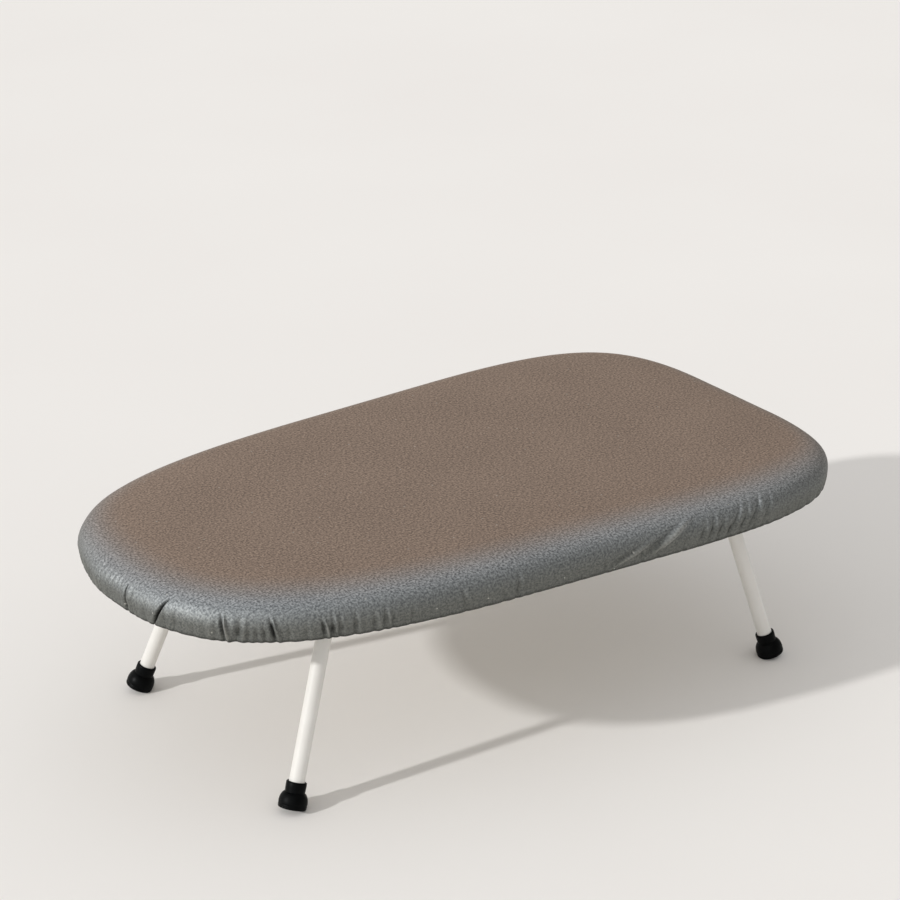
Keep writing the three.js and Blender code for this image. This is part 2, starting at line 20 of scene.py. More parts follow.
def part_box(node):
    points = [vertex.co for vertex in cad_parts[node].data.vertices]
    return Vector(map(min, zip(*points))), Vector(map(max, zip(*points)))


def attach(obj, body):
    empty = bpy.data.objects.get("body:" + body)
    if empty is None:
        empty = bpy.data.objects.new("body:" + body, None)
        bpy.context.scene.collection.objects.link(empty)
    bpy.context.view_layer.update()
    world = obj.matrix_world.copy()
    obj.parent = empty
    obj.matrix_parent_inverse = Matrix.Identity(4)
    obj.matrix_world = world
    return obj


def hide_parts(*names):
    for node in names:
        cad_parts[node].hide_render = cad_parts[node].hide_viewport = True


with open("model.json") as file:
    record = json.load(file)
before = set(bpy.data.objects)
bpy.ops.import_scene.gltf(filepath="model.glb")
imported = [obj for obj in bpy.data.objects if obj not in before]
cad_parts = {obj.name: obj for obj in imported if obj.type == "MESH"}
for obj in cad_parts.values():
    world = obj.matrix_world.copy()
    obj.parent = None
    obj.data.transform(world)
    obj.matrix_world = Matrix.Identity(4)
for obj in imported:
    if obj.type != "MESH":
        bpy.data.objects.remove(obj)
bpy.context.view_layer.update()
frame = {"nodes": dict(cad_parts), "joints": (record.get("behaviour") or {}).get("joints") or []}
MM = 0.001
LOG = logging.getLogger("ironing_board")

Points = np.ndarray
Face = tuple[int, ...]
Mesh = bpy.types.Mesh
Tree = bpy.types.NodeTree
Socket = bpy.types.NodeSocket
Piece = bpy.types.Object

COLOURS = {"data_type": "RGBA"}  # setting of a mix node that mixes colours


class Way(Enum):
    """A way along an axis of the board, which stands in the names of pieces in lower case."""

    def __str__(self) -> str:
        """Gives the name as it stands in the names of pieces."""
        return self.name.lower()


class Side(Way):
    """The two long sides of the board, by the way they lie along Y."""

    LEFT = 1
    RIGHT = -1


class End(Way):
    """The two ends of the board, by the way they lie along X."""

    NOSE = -1
    TAIL = 1


def linear(colour: str) -> tuple[float, float, float, float]:
    """Turns an sRGB hex colour into linear red, green and blue with full alpha.

    Args:
        colour: six hex digits after a hash sign.

    Returns:
        The linear colour for a shader socket.
    """
    channels = [int(colour[i : i + 2], 16) / 255 for i in (1, 3, 5)]
    light = [c / 12.92 if c <= 0.04045 else ((c + 0.055) / 1.055) ** 2.4 for c in channels]
    return light[0], light[1], light[2], 1.0


def tones(dark: str, light: str) -> dict:
    """Gives the two ends of a mix of colours, as values for its sockets."""
    return {"A_Color": linear(dark), "B_Color": linear(light)}


def per_metre(size_mm: float) -> float:
    """Gives the texture scale at which one cell of a pattern measures size_mm."""
    return 1 / (size_mm * MM)


def add_node(
    tree: Tree,
    kind: str,
    settings: dict | None = None,
    values: dict | None = None,
    links: dict | None = None,
    out: str = "",
) -> Socket | None:
    """Adds a shader node with its settings, socket values and links.

    Args:
        tree: the tree that the node joins.
        kind: Blender's name for the node type, without ShaderNode in front.
        settings: properties of the node itself.
        values: constants for its inputs, by socket identifier.
        links: sockets that feed its inputs, by socket identifier.
        out: name of the output to hand back, or the first one in use.

    Returns:
        The output socket, or None for a node that has none.
    """
    node = tree.nodes.new(f"ShaderNode{kind}")
    for name, value in (settings or {}).items():
        setattr(node, name, value)
    inputs = {socket.identifier: socket for socket in node.inputs}
    for name, value in (values or {}).items():
        inputs[name].default_value = value
    for name, source in (links or {}).items():
        tree.links.new(source, inputs[name])
    if out:
        return node.outputs[out]
    return next((socket for socket in node.outputs if socket.enabled), None)


class Finish:
    """A surface finish that is made into a material once and shared by its pieces."""

    title: str
    slot: str  # the record's material slot

    def shader(self, tree: Tree) -> Socket:
        """Builds the finish's nodes and hands back the shader."""
        raise NotImplementedError

    def material(self) -> bpy.types.Material:
        """Finds or makes the material of this finish.

        Returns:
            The material, named for what the real one is.
        """
        made = bpy.data.materials.get(self.title)
        if made is None:
            made = bpy.data.materials.new(self.title)
            made.use_nodes = True
            made.node_tree.nodes.clear()
            surface = self.shader(made.node_tree)
            add_node(made.node_tree, "OutputMaterial", links={"Surface": surface})
        return made


@dataclass(frozen=True)
class MetallisedCotton(Finish):
    """Plain woven cotton with a thin aluminised coat on its face.

    The coat lies on the crowns of the yarns, so the cloth is speckled with pale flecks over a duller
    ground, with a few painted glints. The face is even and carries a painted warm reflection, and the
    skirt is cooler and more speckled, with painted shade towards its lower edge and in its folds and
    painted highlights on its crests.
    """

    title = "metallised_cotton"
    slot = "cover_cloth"
    # the face's tones carry a painted warm reflection over the cloth's grey
    face_dark: str = "#837368"
    face_light: str = "#bda898"
    skirt_dark: str = "#73787d"
    skirt_light: str = "#c5cace"
    # painted shade that darkens the skirt towards its lower edge
    hem_tint: str = "#bab7ad"
    # painted shade in the folds and along the lower edge
    fold_tint: str = "#4b4a48"
    # painted glints, and the painted highlights on the crests
    glint: str = "#d6d4cd"
    yarn_mm: float = 1.3  # a real yarn is about 0.5 mm, too fine to show, so it is drawn coarser
    slub_mm: float = 3.0  # length over which one yarn keeps its shade
    fleck_mm: float = 1.6  # a tuft where the coat has stayed on a yarn or two
    glint_apart_mm: float = 48  # about one painted glint in each square of this size
    glint_mm: float = 0.8
    glint_share: float = 0.6
    cloud_mm: float = 70
    cloud_share: float = 0.05
    yarn_height_mm: float = 0.14
    bare_below: float = 1.55  # sums of the fleck and weave patterns between which the coat comes in
    coated_above: float = 2.45
    even_coat: float = 0.46  # the coat's mean share, to which rubbing evens it out low on the skirt
    rubbed: float = 0.5
    metallic: float = 0.9
    specular: float = 0.3
    roughness: float = 0.66
    glint_roughness: float = 0.5

    def weave(self, tree: Tree, flat: Socket) -> Socket:
        """Crosses two sets of slubby yarns.

        Args:
            tree: the material's nodes.
            flat: places on the cloth before it was drawn over the board.

        Returns:
            The height of the weave.
        """
        yarns = []
        for across, along in ((self.yarn_mm, self.slub_mm), (self.slub_mm, self.yarn_mm)):
            scale = (per_metre(along), per_metre(across), 1)
            stretched = add_node(tree, "Mapping", values={"Scale": scale}, links={"Vector": flat})
            yarn = {"Scale": 1, "Detail": 1, "Roughness": 0.5}
            yarns.append(add_node(tree, "TexNoise", values=yarn, links={"Vector": stretched}))
        crossed = {"Value": yarns[0], "Value_001": yarns[1]}
        return add_node(tree, "Math", {"operation": "ADD"}, links=crossed)

    def flecks(self, tree: Tree, flat: Socket, woven: Socket) -> Socket:
        """Speckles the weave where the coat has stayed, in faint clouds.

        Args:
            tree: the material's nodes.
            flat: places on the cloth before it was drawn over the board.
            woven: the height of the weave.

        Returns:
            Shares from 0, bare yarn, to 1, coated.
        """
        tufts = {"Scale": per_metre(self.fleck_mm), "Detail": 1, "Roughness": 0.5}
        fleck = add_node(tree, "TexNoise", values=tufts, links={"Vector": flat})
        both = {"Value": fleck, "Value_002": woven}
        speckled = add_node(tree, "Math", {"operation": "MULTIPLY_ADD"}, {"Value_001": 2}, both)
        spread = {"From Min": self.bare_below, "From Max": self.coated_above}
        tone = add_node(tree, "MapRange", values=spread, links={"Value": speckled})
        clouds = {"Scale": per_metre(self.cloud_mm), "Detail": 2}
        cloud = add_node(tree, "TexNoise", values=clouds, links={"Vector": flat})
        faint = {"From Min": 0.3, "From Max": 0.7, "To Min": -self.cloud_share, "To Max": self.cloud_share}
        clouded = add_node(tree, "MapRange", values=faint, links={"Value": cloud})
        both = {"Value": tone, "Value_001": clouded}
        return add_node(tree, "Math", {"operation": "ADD", "use_clamp": True}, links=both)

    def shader(self, tree: Tree) -> Socket:
        """Builds the speckled weave in the tones of face and skirt, dark in folds and bright on crests.

        Args:
            tree: the material's nodes.

        Returns:
            The shader.
        """
        flat = add_node(tree, "Attribute", {"attribute_name": "cloth_flat"}, out="Vector")
        # the four marks: a painted warm reflection on the face, painted shade low on the skirt (which also
        # evens its speckle), painted shade in folds and along the lower edge, and painted highlights on
        # crests
        ironed, dulled, folded, worn = (
            add_node(tree, "Attribute", {"attribute_name": name}, out="Fac")
            for name in ("ironed", "dulled", "folded", "worn")
        )
        woven = self.weave(tree, flat)
        most = {"Value_001": self.rubbed}
        rubbed = add_node(tree, "Math", {"operation": "MULTIPLY"}, most, {"Value": dulled})
        flecked = {"Factor_Float": rubbed, "A_Float": self.flecks(tree, flat, woven)}
        coated = add_node(tree, "Mix", values={"B_Float": self.even_coat}, links=flecked)
        side, face = (
            add_node(tree, "Mix", COLOURS, tones(dark, light), {"Factor_Float": coated})
            for dark, light in ((self.skirt_dark, self.skirt_light), (self.face_dark, self.face_light))
        )
        # painted glints: sparse pale specks mixed into the colour
        cells = {"Scale": per_metre(self.glint_apart_mm)}
        apart = add_node(tree, "TexVoronoi", {"voronoi_dimensions": "2D"}, cells, {"Vector": flat})
        size = self.glint_mm / self.glint_apart_mm
        fade = {"From Min": size / 2, "From Max": size, "To Min": self.glint_share, "To Max": 0}
        spark = add_node(tree, "MapRange", values=fade, links={"Value": apart})
        lit = {"Value": spark, "Value_001": worn}
        bright = add_node(tree, "Math", {"operation": "MAXIMUM"}, links=lit)
        # the face's painted warm reflection laid over the skirt's tones
        two_toned = {"Factor_Float": ironed, "A_Color": side, "B_Color": face}
        colour = add_node(tree, "Mix", COLOURS, links=two_toned)
        # painted shade low on the skirt, then painted glints and crest highlights, then painted shade in
        # the folds
        for blend, tint, share in (
            ("MULTIPLY", self.hem_tint, dulled),
            ("MIX", self.glint, bright),
            ("MULTIPLY", self.fold_tint, folded),
        ):
            tinted = {"Factor_Float": share, "A_Color": colour}
            colour = add_node(
                tree, "Mix", {**COLOURS, "blend_type": blend}, {"B_Color": linear(tint)}, tinted
            )
        rough = {"To Min": self.roughness, "To Max": self.glint_roughness}
        gloss = add_node(tree, "MapRange", values=rough, links={"Value": bright})
        raised = {"Strength": 0.6, "Distance": self.yarn_height_mm * MM}
        relief = add_node(tree, "Bump", values=raised, links={"Height": woven})
        coat = {"Metallic": self.metallic, "Specular IOR Level": self.specular}
        skin = {"Base Color": colour, "Roughness": gloss, "Normal": relief}
        return add_node(tree, "BsdfPrincipled", values=coat, links=skin)


@dataclass(frozen=True)
class NeedledFelt(Finish):
    """Needled polyester felt: matt, pale, with tangled fibres and small needle dimples."""

    title = "needled_felt"
    slot = "felt"
    dark: str = "#b9b1a2"
    light: str = "#e0dacd"
    fibre_mm: float = 1.2  # a fibre is far finer, so tufts of fibres are drawn
    dimple_mm: float = 3.5
    tuft_height_mm: float = 0.4

    def shader(self, tree: Tree) -> Socket:
        """Builds tangled fibres over a dimpled ground.

        Args:
            tree: the material's nodes.

        Returns:
            The shader.
        """
        place = add_node(tree, "TexCoord", out="Object")
        tufts = {"Scale": per_metre(self.fibre_mm), "Detail": 5, "Distortion": 1.5}
        fibre = add_node(tree, "TexNoise", values=tufts, links={"Vector": place})
        cells = {"Scale": per_metre(self.dimple_mm)}
        dimple = add_node(tree, "TexVoronoi", values=cells, links={"Vector": place})
        both = {"Value": fibre, "Value_001": dimple}
        tangled = add_node(tree, "Math", {"operation": "ADD"}, links=both)
        colour = add_node(tree, "Mix", COLOURS, tones(self.dark, self.light), {"Factor_Float": fibre})
        raised = {"Strength": 0.7, "Distance": self.tuft_height_mm * MM}
        relief = add_node(tree, "Bump", values=raised, links={"Height": tangled})
        matt = {"Roughness": 0.95, "Specular IOR Level": 0.15, "Sheen Weight": 0.3}
        skin = {"Base Color": colour, "Normal": relief}
        return add_node(tree, "BsdfPrincipled", values=matt, links=skin)


@dataclass(frozen=True)
class WovenElastic(Finish):
    """Flat woven elastic: soft white ribs across rubber cores that run along the band."""

    title = "woven_elastic"
    slot = "elastic"
    dark: str = "#bdb8ae"
    light: str = "#ebe8e1"
    rib_mm: float = 1.1
    rib_height_mm: float = 0.2

    def shader(self, tree: Tree) -> Socket:
        """Builds ribs that follow the band round the board.

        Args:
            tree: the material's nodes.

        Returns:
            The shader.
        """
        band = add_node(tree, "Attribute", {"attribute_name": "travel"}, out="Fac")
        ribs = {"Value_001": 2 * math.pi * per_metre(self.rib_mm)}
        turn = add_node(tree, "Math", {"operation": "MULTIPLY"}, ribs, {"Value": band})
        rib = add_node(tree, "Math", {"operation": "SINE"}, links={"Value": turn})
        shade = add_node(tree, "MapRange", values={"From Min": -1}, links={"Value": rib})
        colour = add_node(tree, "Mix", COLOURS, tones(self.dark, self.light), {"Factor_Float": shade})
        raised = {"Strength": 0.6, "Distance": self.rib_height_mm * MM}
        relief = add_node(tree, "Bump", values=raised, links={"Height": shade})
        matt = {"Roughness": 0.88, "Specular IOR Level": 0.2}
        skin = {"Base Color": colour, "Normal": relief}
        return add_node(tree, "BsdfPrincipled", values=matt, links=skin)


@dataclass(frozen=True)
class SmoothSkin(Finish):
    """A moulded or baked skin: a fine grain in relief, and clouds that shift its tone and gloss."""

    title: str
    slot: str
    dark: str
    light: str
    glossiest: float
    roughest: float
    ior: float
    specular: float
    grain_mm: float
    grain_height_mm: float
    grain_detail: float = 3
    grain_strength: float = 0.4
    cloud_mm: float = 9
    cloud_detail: float = 4

    def shader(self, tree: Tree) -> Socket:
        """Builds the grain and the clouds.

        Args:
            tree: the material's nodes.

        Returns:
            The shader.
        """
        place = add_node(tree, "TexCoord", out="Object")
        sizes = ((self.grain_mm, self.grain_detail), (self.cloud_mm, self.cloud_detail))
        spots = [{"Scale": per_metre(size), "Detail": detail} for size, detail in sizes]
        grain, cloud = (add_node(tree, "TexNoise", values=s, links={"Vector": place}) for s in spots)
        colour = add_node(tree, "Mix", COLOURS, tones(self.dark, self.light), {"Factor_Float": cloud})
        rough = {"From Min": 0.3, "From Max": 0.7, "To Min": self.glossiest, "To Max": self.roughest}
        gloss = add_node(tree, "MapRange", values=rough, links={"Value": cloud})
        raised = {"Strength": self.grain_strength, "Distance": self.grain_height_mm * MM}
        relief = add_node(tree, "Bump", values=raised, links={"Height": grain})
        coat = {"IOR": self.ior, "Specular IOR Level": self.specular}
        skin = {"Base Color": colour, "Roughness": gloss, "Normal": relief}
        return add_node(tree, "BsdfPrincipled", values=coat, links=skin)


@dataclass(frozen=True)
class ZincPlate(Finish):
    """Bright zinc on pressed steel: a cool grey metal with cloudy passivation and fine drawing lines."""

    title = "zinc_plated_steel"
    slot = "zinc_steel"
    dark: str = "#9fa3a7"
    light: str = "#c9ccce"
    line_mm: float = 0.5
    line_height_mm: float = 0.05
    cloud_mm: float = 6
    drawn_out: float = 0.08  # how much the lines are squeezed along X, so that they run that way
    glossiest: float = 0.28
    roughest: float = 0.44

    def shader(self, tree: Tree) -> Socket:
        """Builds the passivation clouds and the drawing lines.

        Args:
            tree: the material's nodes.

        Returns:
            The shader.
        """
        place = add_node(tree, "TexCoord", out="Object")
        drawn = add_node(tree, "Mapping", values={"Scale": (self.drawn_out, 1, 1)}, links={"Vector": place})
        lines = {"Scale": per_metre(self.line_mm), "Detail": 2}
        line = add_node(tree, "TexNoise", values=lines, links={"Vector": drawn})
        clouds = {"Scale": per_metre(self.cloud_mm), "Detail": 4}
        cloud = add_node(tree, "TexNoise", values=clouds, links={"Vector": place})
        colour = add_node(tree, "Mix", COLOURS, tones(self.dark, self.light), {"Factor_Float": cloud})
        rough = {"From Min": 0.3, "From Max": 0.7, "To Min": self.glossiest, "To Max": self.roughest}
        gloss = add_node(tree, "MapRange", values=rough, links={"Value": line})
        raised = {"Strength": 0.15, "Distance": self.line_height_mm * MM}
        relief = add_node(tree, "Bump", values=raised, links={"Height": line})
        skin = {"Base Color": colour, "Roughness": gloss, "Normal": relief}
        return add_node(tree, "BsdfPrincipled", values={"Metallic": 1}, links=skin)


@dataclass(frozen=True)
class PaperSweep(Finish):
    """Matt pale studio paper, with a tooth too faint to show as more than an even tone."""

    title = "studio_paper"
    dark: str = "#ece8e4"
    light: str = "#f0ede9"
    tooth_mm: float = 400

    def shader(self, tree: Tree) -> Socket:
        """Builds a nearly even pale paper.

        Args:
            tree: the material's nodes.

        Returns:
            The shader.
        """
        place = add_node(tree, "TexCoord", out="Object")
        teeth = {"Scale": per_metre(self.tooth_mm)}
        tooth = add_node(tree, "TexNoise", values=teeth, links={"Vector": place})
        colour = add_node(tree, "Mix", COLOURS, tones(self.dark, self.light), {"Factor_Float": tooth})
        matt = {"Roughness": 0.9, "Specular IOR Level": 0.1}
        return add_node(tree, "BsdfPrincipled", values=matt, links={"Base Color": colour})


COVER_CLOTH = MetallisedCotton()
FELT = NeedledFelt()
ELASTIC = WovenElastic()
ZINC = ZincPlate()
PAPER = PaperSweep()
# White polyester powder baked on steel is satin, with a faint orange peel and soft highlights
WHITE_COAT = SmoothSkin(
    "white_powder_coat",
    "white_coat",
    "#dad7d1",
    "#e3e1dc",
    glossiest=0.31,
    roughest=0.42,
    ior=1.5,
    specular=0.5,
    grain_mm=1.8,
    grain_height_mm=0.06,
    grain_detail=1,
    grain_strength=0.25,
    cloud_mm=24,
    cloud_detail=3,
)
# Moulded rubber scatters the light in a broad sheen, and its bloom turns the black faintly blue
RUBBER = SmoothSkin(
    "moulded_rubber",
    "rubber",
    "#020303",
    "#070809",
    glossiest=0.35,
    roughest=0.49,
    ior=1.52,
    specular=0.06,
    grain_mm=0.9,
    grain_height_mm=0.08,
)
# Moulded nylon is harder and glossier than the rubber, with a finer grain
NYLON = SmoothSkin(
    "moulded_nylon",
    "nylon",
    "#1f2022",
    "#2e3032",
    glossiest=0.31,
    roughest=0.45,
    ior=1.53,
    specular=0.5,
    grain_mm=0.7,
    grain_height_mm=0.04,
)


def grid_faces(rows: int, columns: int, close_rows: bool = False) -> list[Face]:
    """Joins a stack of closed loops with four-sided faces.

    Args:
        rows: number of loops.
        columns: points in each loop.
        close_rows: whether the last loop also joins the first.

    Returns:
        Faces whose fronts look outwards for loops that run anticlockwise from the inside out and down.
    """
    faces = []
    for row in range(rows if close_rows else rows - 1):
        upper = row * columns
        lower = (row + 1) % rows * columns
        for i in range(columns):
            after = (i + 1) % columns
            faces.append((upper + i, lower + i, lower + after, upper + after))
    return faces


def tube_faces(rows: int, columns: int) -> list[Face]:
    """Joins a stack of closed loops and closes its two ends.

    Args:
        rows: number of loops.
        columns: points in each loop.

    Returns:
        Faces as grid_faces gives them, and one face for each end.
    """
    last = rows * columns - 1
    ends = [tuple(range(columns)), tuple(range(last, last - columns, -1))]
    return grid_faces(rows, columns) + ends


def revolve(section: list[tuple[float, float]], sides: int) -> tuple[Points, list[Face]]:
    """Turns a section round the Z axis.

    Args:
        section: radii and heights, from the bottom up the outside.
        sides: points in each ring.

    Returns:
        The points and faces of a closed solid.
    """
    turns = np.linspace(0, 2 * math.pi, sides, endpoint=False)
    ring = np.column_stack([np.cos(turns), np.sin(turns), np.ones(sides)])
    points = np.concatenate([ring * (radius, radius, height) for radius, height in section])
    return points, [face[::-1] for face in tube_faces(len(section), sides)]


def new_mesh(name: str, points: Points, faces: list[Face]) -> Mesh:
    """Makes a mesh.

    Args:
        name: name of the mesh.
        points: places of its points.
        faces: point numbers of its faces.

    Returns:
        The mesh, which no piece shows yet.
    """
    mesh = bpy.data.meshes.new(name)
    mesh.from_pydata([tuple(p) for p in np.asarray(points, float)], [], faces)
    return mesh


def add_piece(
    name: str, mesh: Mesh, finish: Finish, body: str, nodes: tuple[str, ...] = (), crease: float = 40
) -> Piece:
    """Dresses a mesh and hangs it on a body as a piece.

    Args:
        name: name of the piece.
        mesh: its mesh, in the frame of the part.
        finish: what its surface is.
        body: the body that it moves with.
        nodes: solids that it stands for.
        crease: edges sharper than this, in degrees, stay sharp.

    Returns:
        The finished object.
    """
    mesh.shade_smooth()
    mesh.set_sharp_from_angle(angle=math.radians(crease))
    mesh.materials.append(finish.material())
    piece = bpy.data.objects.new(name, mesh)
    bpy.context.scene.collection.objects.link(piece)
    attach(piece, body)
    if nodes:
        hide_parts(*nodes)
    LOG.info("%s: %d points on %s", name, len(mesh.vertices), body)
    return piece


def mark(piece: Piece, name: str, values: Points) -> None:
    """Stores a number or a vector for each point, for a material to read.

    Args:
        piece: the mesh piece.
        name: name of the attribute.
        values: one number, or three, for each point.
    """
    kind = "FLOAT" if values.ndim == 1 else "FLOAT_VECTOR"
    attribute = piece.data.attributes.new(name, kind, "POINT")
    field = "value" if kind == "FLOAT" else "vector"
    attribute.data.foreach_set(field, np.ascontiguousarray(values, np.float32).ravel())


def smooth_step(low: float, high: float, value: Points) -> Points:
    """Rises from 0 at low to 1 at high with level ends."""
    t = np.clip((value - low) / (high - low), 0, 1)
    return t * t * (3 - 2 * t)


def hump(value: Points, middle: float, width: float) -> Points:
    """Rises to 1 at the middle and dies out within a few widths of it."""
    return np.exp(-(((value - middle) / width) ** 2))


@dataclass
class Outline:
    """Plan of the board over its cover, the same on both sides of the X axis."""

    length: float
    nose_side_start: float = 0.2673  # from the nose to where the straight side begins
    nose_side_width: float = 0.3416
    tail_side_end: float = 0.2017  # from the tail to where the straight side stops
    tail_side_width: float = 0.355
    tail_flat: float = 0.0906
    nose_tip_pull: float = 0.1219  # how far each curve keeps its end's direction
    nose_side_pull: float = 0.1875
    tail_side_pull: float = 0.1501
    tail_flat_pull: float = 0.1133
    samples: int = 1500

    def __post_init__(self) -> None:
        """Measures the outline once, so that places on it can be looked up by travel."""
        half = self.half()
        back = half[-2:0:-1] * (1, -1)
        self.points = np.vstack([half, back, half[:1]])
        steps = np.linalg.norm(np.diff(self.points, axis=0), axis=1)
        self.travels = np.concatenate([[0], np.cumsum(steps)])
        self.perimeter = self.travels[-1]

    def half(self) -> Points:
        """Draws one half from the nose tip along the -Y side to the middle of the tail.

        Returns:
            Points close together along the half.
        """
        nose, tail = -self.length / 2, self.length / 2
        nose_side = np.array([nose + self.nose_side_start, -self.nose_side_width / 2])
        tail_side = np.array([tail - self.tail_side_end, -self.tail_side_width / 2])
        along = (tail_side - nose_side) / np.linalg.norm(tail_side - nose_side)
        flat = np.array([tail, -self.tail_flat / 2])
        curves = (
            ((nose, 0), (nose, -self.nose_tip_pull), nose_side - along * self.nose_side_pull, nose_side),
            (nose_side, nose_side, tail_side, tail_side),
            (tail_side, tail_side + along * self.tail_side_pull, flat - (0, self.tail_flat_pull), flat),
            (flat, flat, (tail, 0), (tail, 0)),
        )
        t = np.linspace(0, 1, self.samples)[:, None]
        pieces = []
        for a, b, c, d in curves:
            drawn = (1 - t) ** 3 * a + 3 * (1 - t) ** 2 * t * b + 3 * (1 - t) * t**2 * c + t**3 * d
            pieces.append(drawn if not pieces else drawn[1:])
        return np.vstack(pieces)

    def at(self, travel: Points) -> Points:
        """Looks up the places at these travels."""
        wrapped = np.mod(travel, self.perimeter)
        return np.stack([np.interp(wrapped, self.travels, self.points[:, k]) for k in (0, 1)], -1)

    def inward(self, travel: Points) -> Points:
        """Looks up the level directions into the board at these travels.

        Args:
            travel: distances round the outline.

        Returns:
            One unit vector for each distance.
        """
        reach = 2 * MM
        along = self.at(travel + reach) - self.at(travel - reach)
        along /= np.linalg.norm(along, axis=-1, keepdims=True)
        return np.stack([-along[..., 1], along[..., 0]], -1)

    def loop(self, inset: float, height: float, columns: int) -> Points:
        """Draws one loop round the board.

        Args:
            inset: how far inside the outline it lies.
            height: its height above the table.
            columns: number of points in it.

        Returns:
            The loop's points.
        """
        travel = np.linspace(0, self.perimeter, columns, endpoint=False)
        flat = self.at(travel) + self.inward(travel) * inset
        return np.column_stack([flat, np.full(columns, height)])

    def area(self, grow: float) -> float:
        """Measures the area inside the outline after it has grown outwards by a distance.

        Args:
            grow: the distance.

        Returns:
            The area in square metres.
        """
        x, y = self.points[:-1].T
        bare = abs(np.sum(x * np.roll(y, -1) - y * np.roll(x, -1))) / 2
        return float(bare + self.perimeter * grow + math.pi * grow**2)


@dataclass(frozen=True)
class Stretch:
    """A stretch down the cloth, which turns evenly to an angle from level, in degrees, by its end."""

    title: str
    length: float
    turn: float
    rows: int


class FoldShape(Enum):
    """Kinds of fold.

    A gather is a soft hollow, a wrinkle a shallow crease, a pinch a narrow crease with a ridge after it,
    and a pleat a deep one.
    """

    GATHER = "gather"
    WRINKLE = "wrinkle"
    PINCH = "pinch"
    PLEAT = "pleat"


@dataclass(frozen=True)
class Fold:
    """One fold of the skirt, or a ridge where its depth is negative.

    Travel is where it meets the lower edge. It runs up the cloth for rise, and has moved along by lean at
    its upper end.
    """

    travel: float
    rise: float
    lean: float
    depth: float
    width: float
    widest: float = 0.5  # the share of its rise at which a pleat gapes most or a wrinkle is deepest
    shape: FoldShape = FoldShape.GATHER

    def spread(self) -> float:
        """Gives the distance from its middle beyond which the fold has died out."""
        return 8 * self.width

    def section(self, apart: Points, climb: Points) -> Points:
        """Draws the fold's section: a hollow of the full depth, and lips and ridges that are shares of it.

        Args:
            apart: distances from its middle, in widths.
            climb: shares of its rise, of the same shape.

        Returns:
            How far the cloth stands out there.
        """
        if self.shape is FoldShape.PLEAT:
            mouth = 0.4 + 0.6 * hump(climb, self.widest, 0.3)
            strength = 1 - smooth_step(0.75, 1.0, climb)
            lips = 0.12 * hump(apart, -2.4, 1.2) + 0.08 * hump(apart, 2.4, 1.2)
            return self.depth * strength * (lips - np.exp(-(np.abs(apart / mouth) ** 3)))
        if self.shape is FoldShape.PINCH:
            strength = 1 - smooth_step(0.55, 1.0, climb)
            ridge = 0.6 * hump(apart, 1.8, 1.0) - 0.3 * hump(apart, 4.2, 1.5)
            return self.depth * strength * (ridge - np.exp(-(np.abs(apart) ** 1.8)))
        if self.shape is FoldShape.WRINKLE:
            strength = hump(climb, self.widest, 0.27)
            return self.depth * strength * (0.4 * hump(apart, 1.8, 1.1) - hump(apart, 0, 1))
        strength = 1 - smooth_step(0.35, 1.0, climb)
        lips = 0.3 * hump(apart, -2.1, 1.4) + 0.5 * hump(apart, 1.9, 1.1)
        return self.depth * strength * (lips - np.exp(-(np.abs(apart) ** 1.4)))


# Folds that the photograph shows. Each row has the travel, rise, lean, depth and width in millimetres, and
# for some the share at which they are widest.
FOLD_ROWS = {
    FoldShape.PLEAT: ((51.8, 28.5, 15.5, 4.6, 1.3), (21.5, 25, 0.5, 4.2, 1.8, 0.2)),
    FoldShape.PINCH: ((113, 24.5, -2.5, 2.8, 1.4), (150.2, 23, -4.5, 2.6, 1.4), (186, 20, -3, 2.2, 1.4)),
    FoldShape.GATHER: (
        (121.5, 25, 4.5, 2.4, 2.2),
        (130, 19, 1, 1.4, 1.6),
        (136.5, 17, 0, 1.3, 1.6),
        (142.5, 19, -1, 1.4, 1.6),
        (160, 18, 0, 1.1, 1.8),
        (172, 19, 1, 1.2, 1.9),
        (191.2, 23, 0, 2.0, 1.5),
        (196.8, 23, 0, 1.9, 1.6),
        (208, 23, 0.5, 2.1, 1.8),
        (222.5, 21, 0, 1.8, 1.7),
        (231, 24, 0, 2.1, 1.6),
        (237, 19, 0, 1.8, 1.7),
        (296, 25, -4, 1.8, 1.9),
        (339, 27, 2, 1.8, 1.9),
    ),
    FoldShape.WRINKLE: (
        (-21.5, 40.5, 2, 0.7, 1.5, 0.70),
        (-15.5, 40, 1, 0.6, 1.4, 0.66),
        (-9.5, 40.5, 0, 0.8, 1.5, 0.70),
        (-3.5, 40, 1, 0.7, 1.4, 0.64),
        (2.5, 40.5, 0, 0.8, 1.6, 0.66),
        (8.5, 40, 0, 0.6, 1.4, 0.60),
        (14.5, 39, -1, 0.6, 1.5, 0.55),
        (435.5, 31, 62.5, 1.5, 5.0),
        (446.5, 33, 64, -2.6, 5.2),
        (404, 24, 62, 1.3, 4.8),
        (412, 25, 65.5, -2.1, 4.8),
        (504, 30, 10, 2.1, 2.2, 0.36),
        (512.5, 33, 11, 2.3, 2.2, 0.36),
        (521, 31, 13, 2.1, 2.2, 0.34),
        (530, 40.5, 26.5, 1.7, 2.1, 0.36),
        (543, 40.5, 19.2, 1.8, 2.0, 0.28),
        (549, 40.5, 28, 1.9, 2.1, 0.36),
        (558, 40.5, 13.9, 1.8, 2.0, 0.26),
        (566, 40.5, 20, 1.6, 2.0, 0.30),
    ),
}
SEEN_FOLDS = tuple(
    Fold(*(size * MM for size in row[:5]), *row[5:], shape=shape)
    for shape, rows in FOLD_ROWS.items()
    for row in rows
)
# How many more columns of points each kind of fold draws to itself
EXTRA_COLUMNS = {FoldShape.GATHER: 0, FoldShape.WRINKLE: 1, FoldShape.PINCH: 5, FoldShape.PLEAT: 5}


